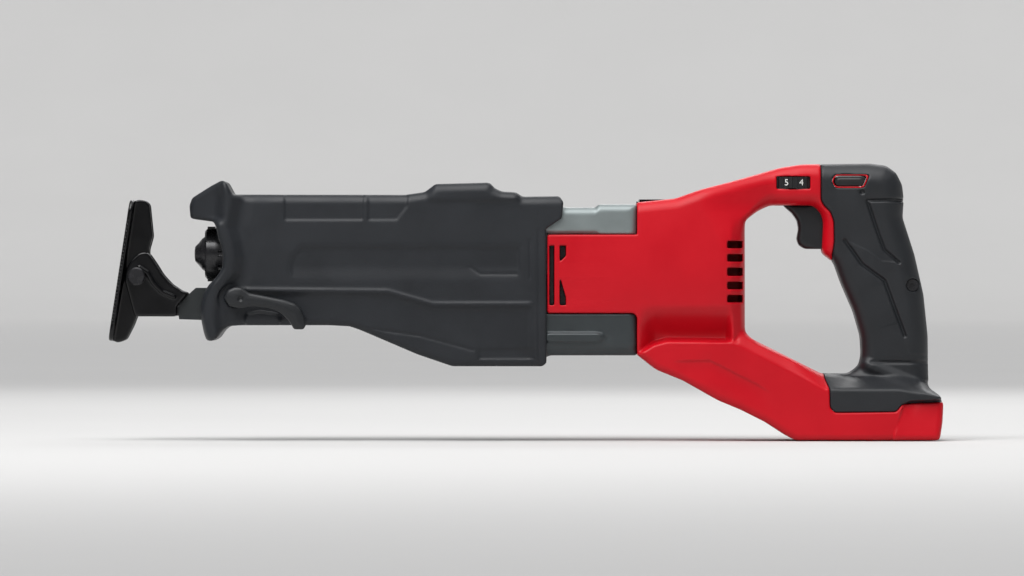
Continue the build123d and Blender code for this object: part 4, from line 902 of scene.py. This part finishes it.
# ---------------------------------------------------------------- numbers on the speed dial
def dial_numbers():
    """Digits 1 to 6 painted round the rim of the dial, bent to its radius."""
    centre_x, rim, middle_z = 345.0, 17.75, 41.0
    spacing_deg, number_at_left = 28, 4.55
    white = material("dial_white", (0.75, 0.75, 0.72), 0.5, shade=0.05, grain=2600, bump=0.1)
    for number in range(1, 7):
        text = bpy.data.curves.new(f"dial_text_{number}", "FONT")
        text.body = str(number)
        text.size = 5.2
        text.align_x = "CENTER"
        text.align_y = "CENTER"
        text.extrude = 0.05
        text.resolution_u = 4
        holder = bpy.data.objects.new(f"dial_text_{number}", text)
        bpy.context.scene.collection.objects.link(holder)
        bpy.context.view_layer.update()
        evaluated = holder.evaluated_get(bpy.context.evaluated_depsgraph_get())
        mesh = bpy.data.meshes.new_from_object(evaluated)
        bpy.data.objects.remove(holder)
        angle_mid = math.radians(-90 + spacing_deg * (number_at_left - number))
        for vertex in mesh.vertices:
            angle = angle_mid + vertex.co.x / rim
            radius = rim + vertex.co.z
            vertex.co = Vector((centre_x + radius * math.cos(angle), radius * math.sin(angle),
                                middle_z + vertex.co.y)) * MM
        digit = bpy.data.objects.new(f"dial_number_{number}", mesh)
        bpy.context.scene.collection.objects.link(digit)
        mesh.materials.append(white)
        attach(digit, "dial_body")


dial_numbers()


# ---------------------------------------------------------------- stage, light and camera
MIDDLE = (0.19, 0, -0.02)  # the point that the lamps aim at


def dish_stage():
    """A pale round floor that curves up into a backdrop on every side. Metres."""
    floor_z, reach, bend, wall_top = -0.1075, 18.0, 4.0, 9.0
    turns, bend_steps = 128, 16
    centre_x = MIDDLE[0]
    profile = [(0.6, floor_z), (2.0, floor_z), (6.0, floor_z), (reach, floor_z)]
    for step in range(1, bend_steps + 1):
        angle = math.pi / 2 * step / bend_steps
        profile.append((reach + bend * math.sin(angle), floor_z + bend * (1 - math.cos(angle))))
    profile.append((reach + bend, wall_top))
    vertices, faces = [(centre_x, 0, floor_z)], []
    for radius, height in profile:
        for n in range(turns):
            angle = 2 * math.pi * n / turns
            vertices.append((centre_x + radius * math.cos(angle), radius * math.sin(angle), height))
    for n in range(turns):
        after = (n + 1) % turns
        faces.append((0, 1 + n, 1 + after))
        for ring in range(len(profile) - 1):
            low = 1 + ring * turns
            faces.append((low + n, low + turns + n, low + turns + after, low + after))
    mesh = bpy.data.meshes.new("stage")
    mesh.from_pydata(vertices, [], faces)
    for face in mesh.polygons:
        face.use_smooth = True
    stage = bpy.data.objects.new("stage", mesh)
    bpy.context.scene.collection.objects.link(stage)
    mesh.materials.append(material("pale_stage", (0.56, 0.556, 0.55), 0.9, specular=0.1, shade=0.01,
                                   mottle=3, grain=60, bump=0.02))


dish_stage()


def area_light(name, place, size, power):
    """A white soft box, aimed at the middle of the saw."""
    lamp = bpy.data.lights.new(name, "AREA")
    lamp.shape = "RECTANGLE"
    lamp.size, lamp.size_y = size
    lamp.energy = power
    thing = bpy.data.objects.new(name, lamp)
    thing.location = place
    thing.rotation_euler = (Vector(MIDDLE) - Vector(place)).to_track_quat("-Z", "Y").to_euler()
    bpy.context.scene.collection.objects.link(thing)


def soft_sun(strength, towards, spread_deg):
    """Even light from one side, with a wide soft shadow."""
    lamp = bpy.data.lights.new("sun", "SUN")
    lamp.energy = strength
    lamp.angle = math.radians(spread_deg)
    thing = bpy.data.objects.new("sun", lamp)
    thing.rotation_euler = Vector(towards).to_track_quat("-Z", "Y").to_euler()
    bpy.context.scene.collection.objects.link(thing)


area_light("key", (-0.40, -0.95, 1.15), (0.8, 0.5), 6.5)
area_light("top", (0.25, -0.15, 1.4), (2.0, 1.3), 12)
area_light("back", (0.6, 1.9, 1.3), (1.4, 0.8), 14)
soft_sun(2.6, (0.25, 0.55, -1.0), 60)
world = bpy.data.worlds.new("studio")
world.use_nodes = True
sky = world.node_tree.nodes["Background"].inputs
sky["Color"].default_value = (0.93, 0.95, 1.0, 1)
sky["Strength"].default_value = 0.22
bpy.context.scene.world = world

# A long lens square to the left side, as in the photograph.

camera_data = bpy.data.cameras.new("camera")
camera_data.lens = 300
camera_data.sensor_width = 36
camera = bpy.data.objects.new("camera", camera_data)
camera.location = (0.1832, -4.926, -0.0196)
camera.rotation_euler = (math.radians(90), 0, 0)
bpy.context.scene.collection.objects.link(camera)
bpy.context.scene.camera = camera
bpy.context.scene.view_settings.view_transform = "Standard"  # keeps the red saturated
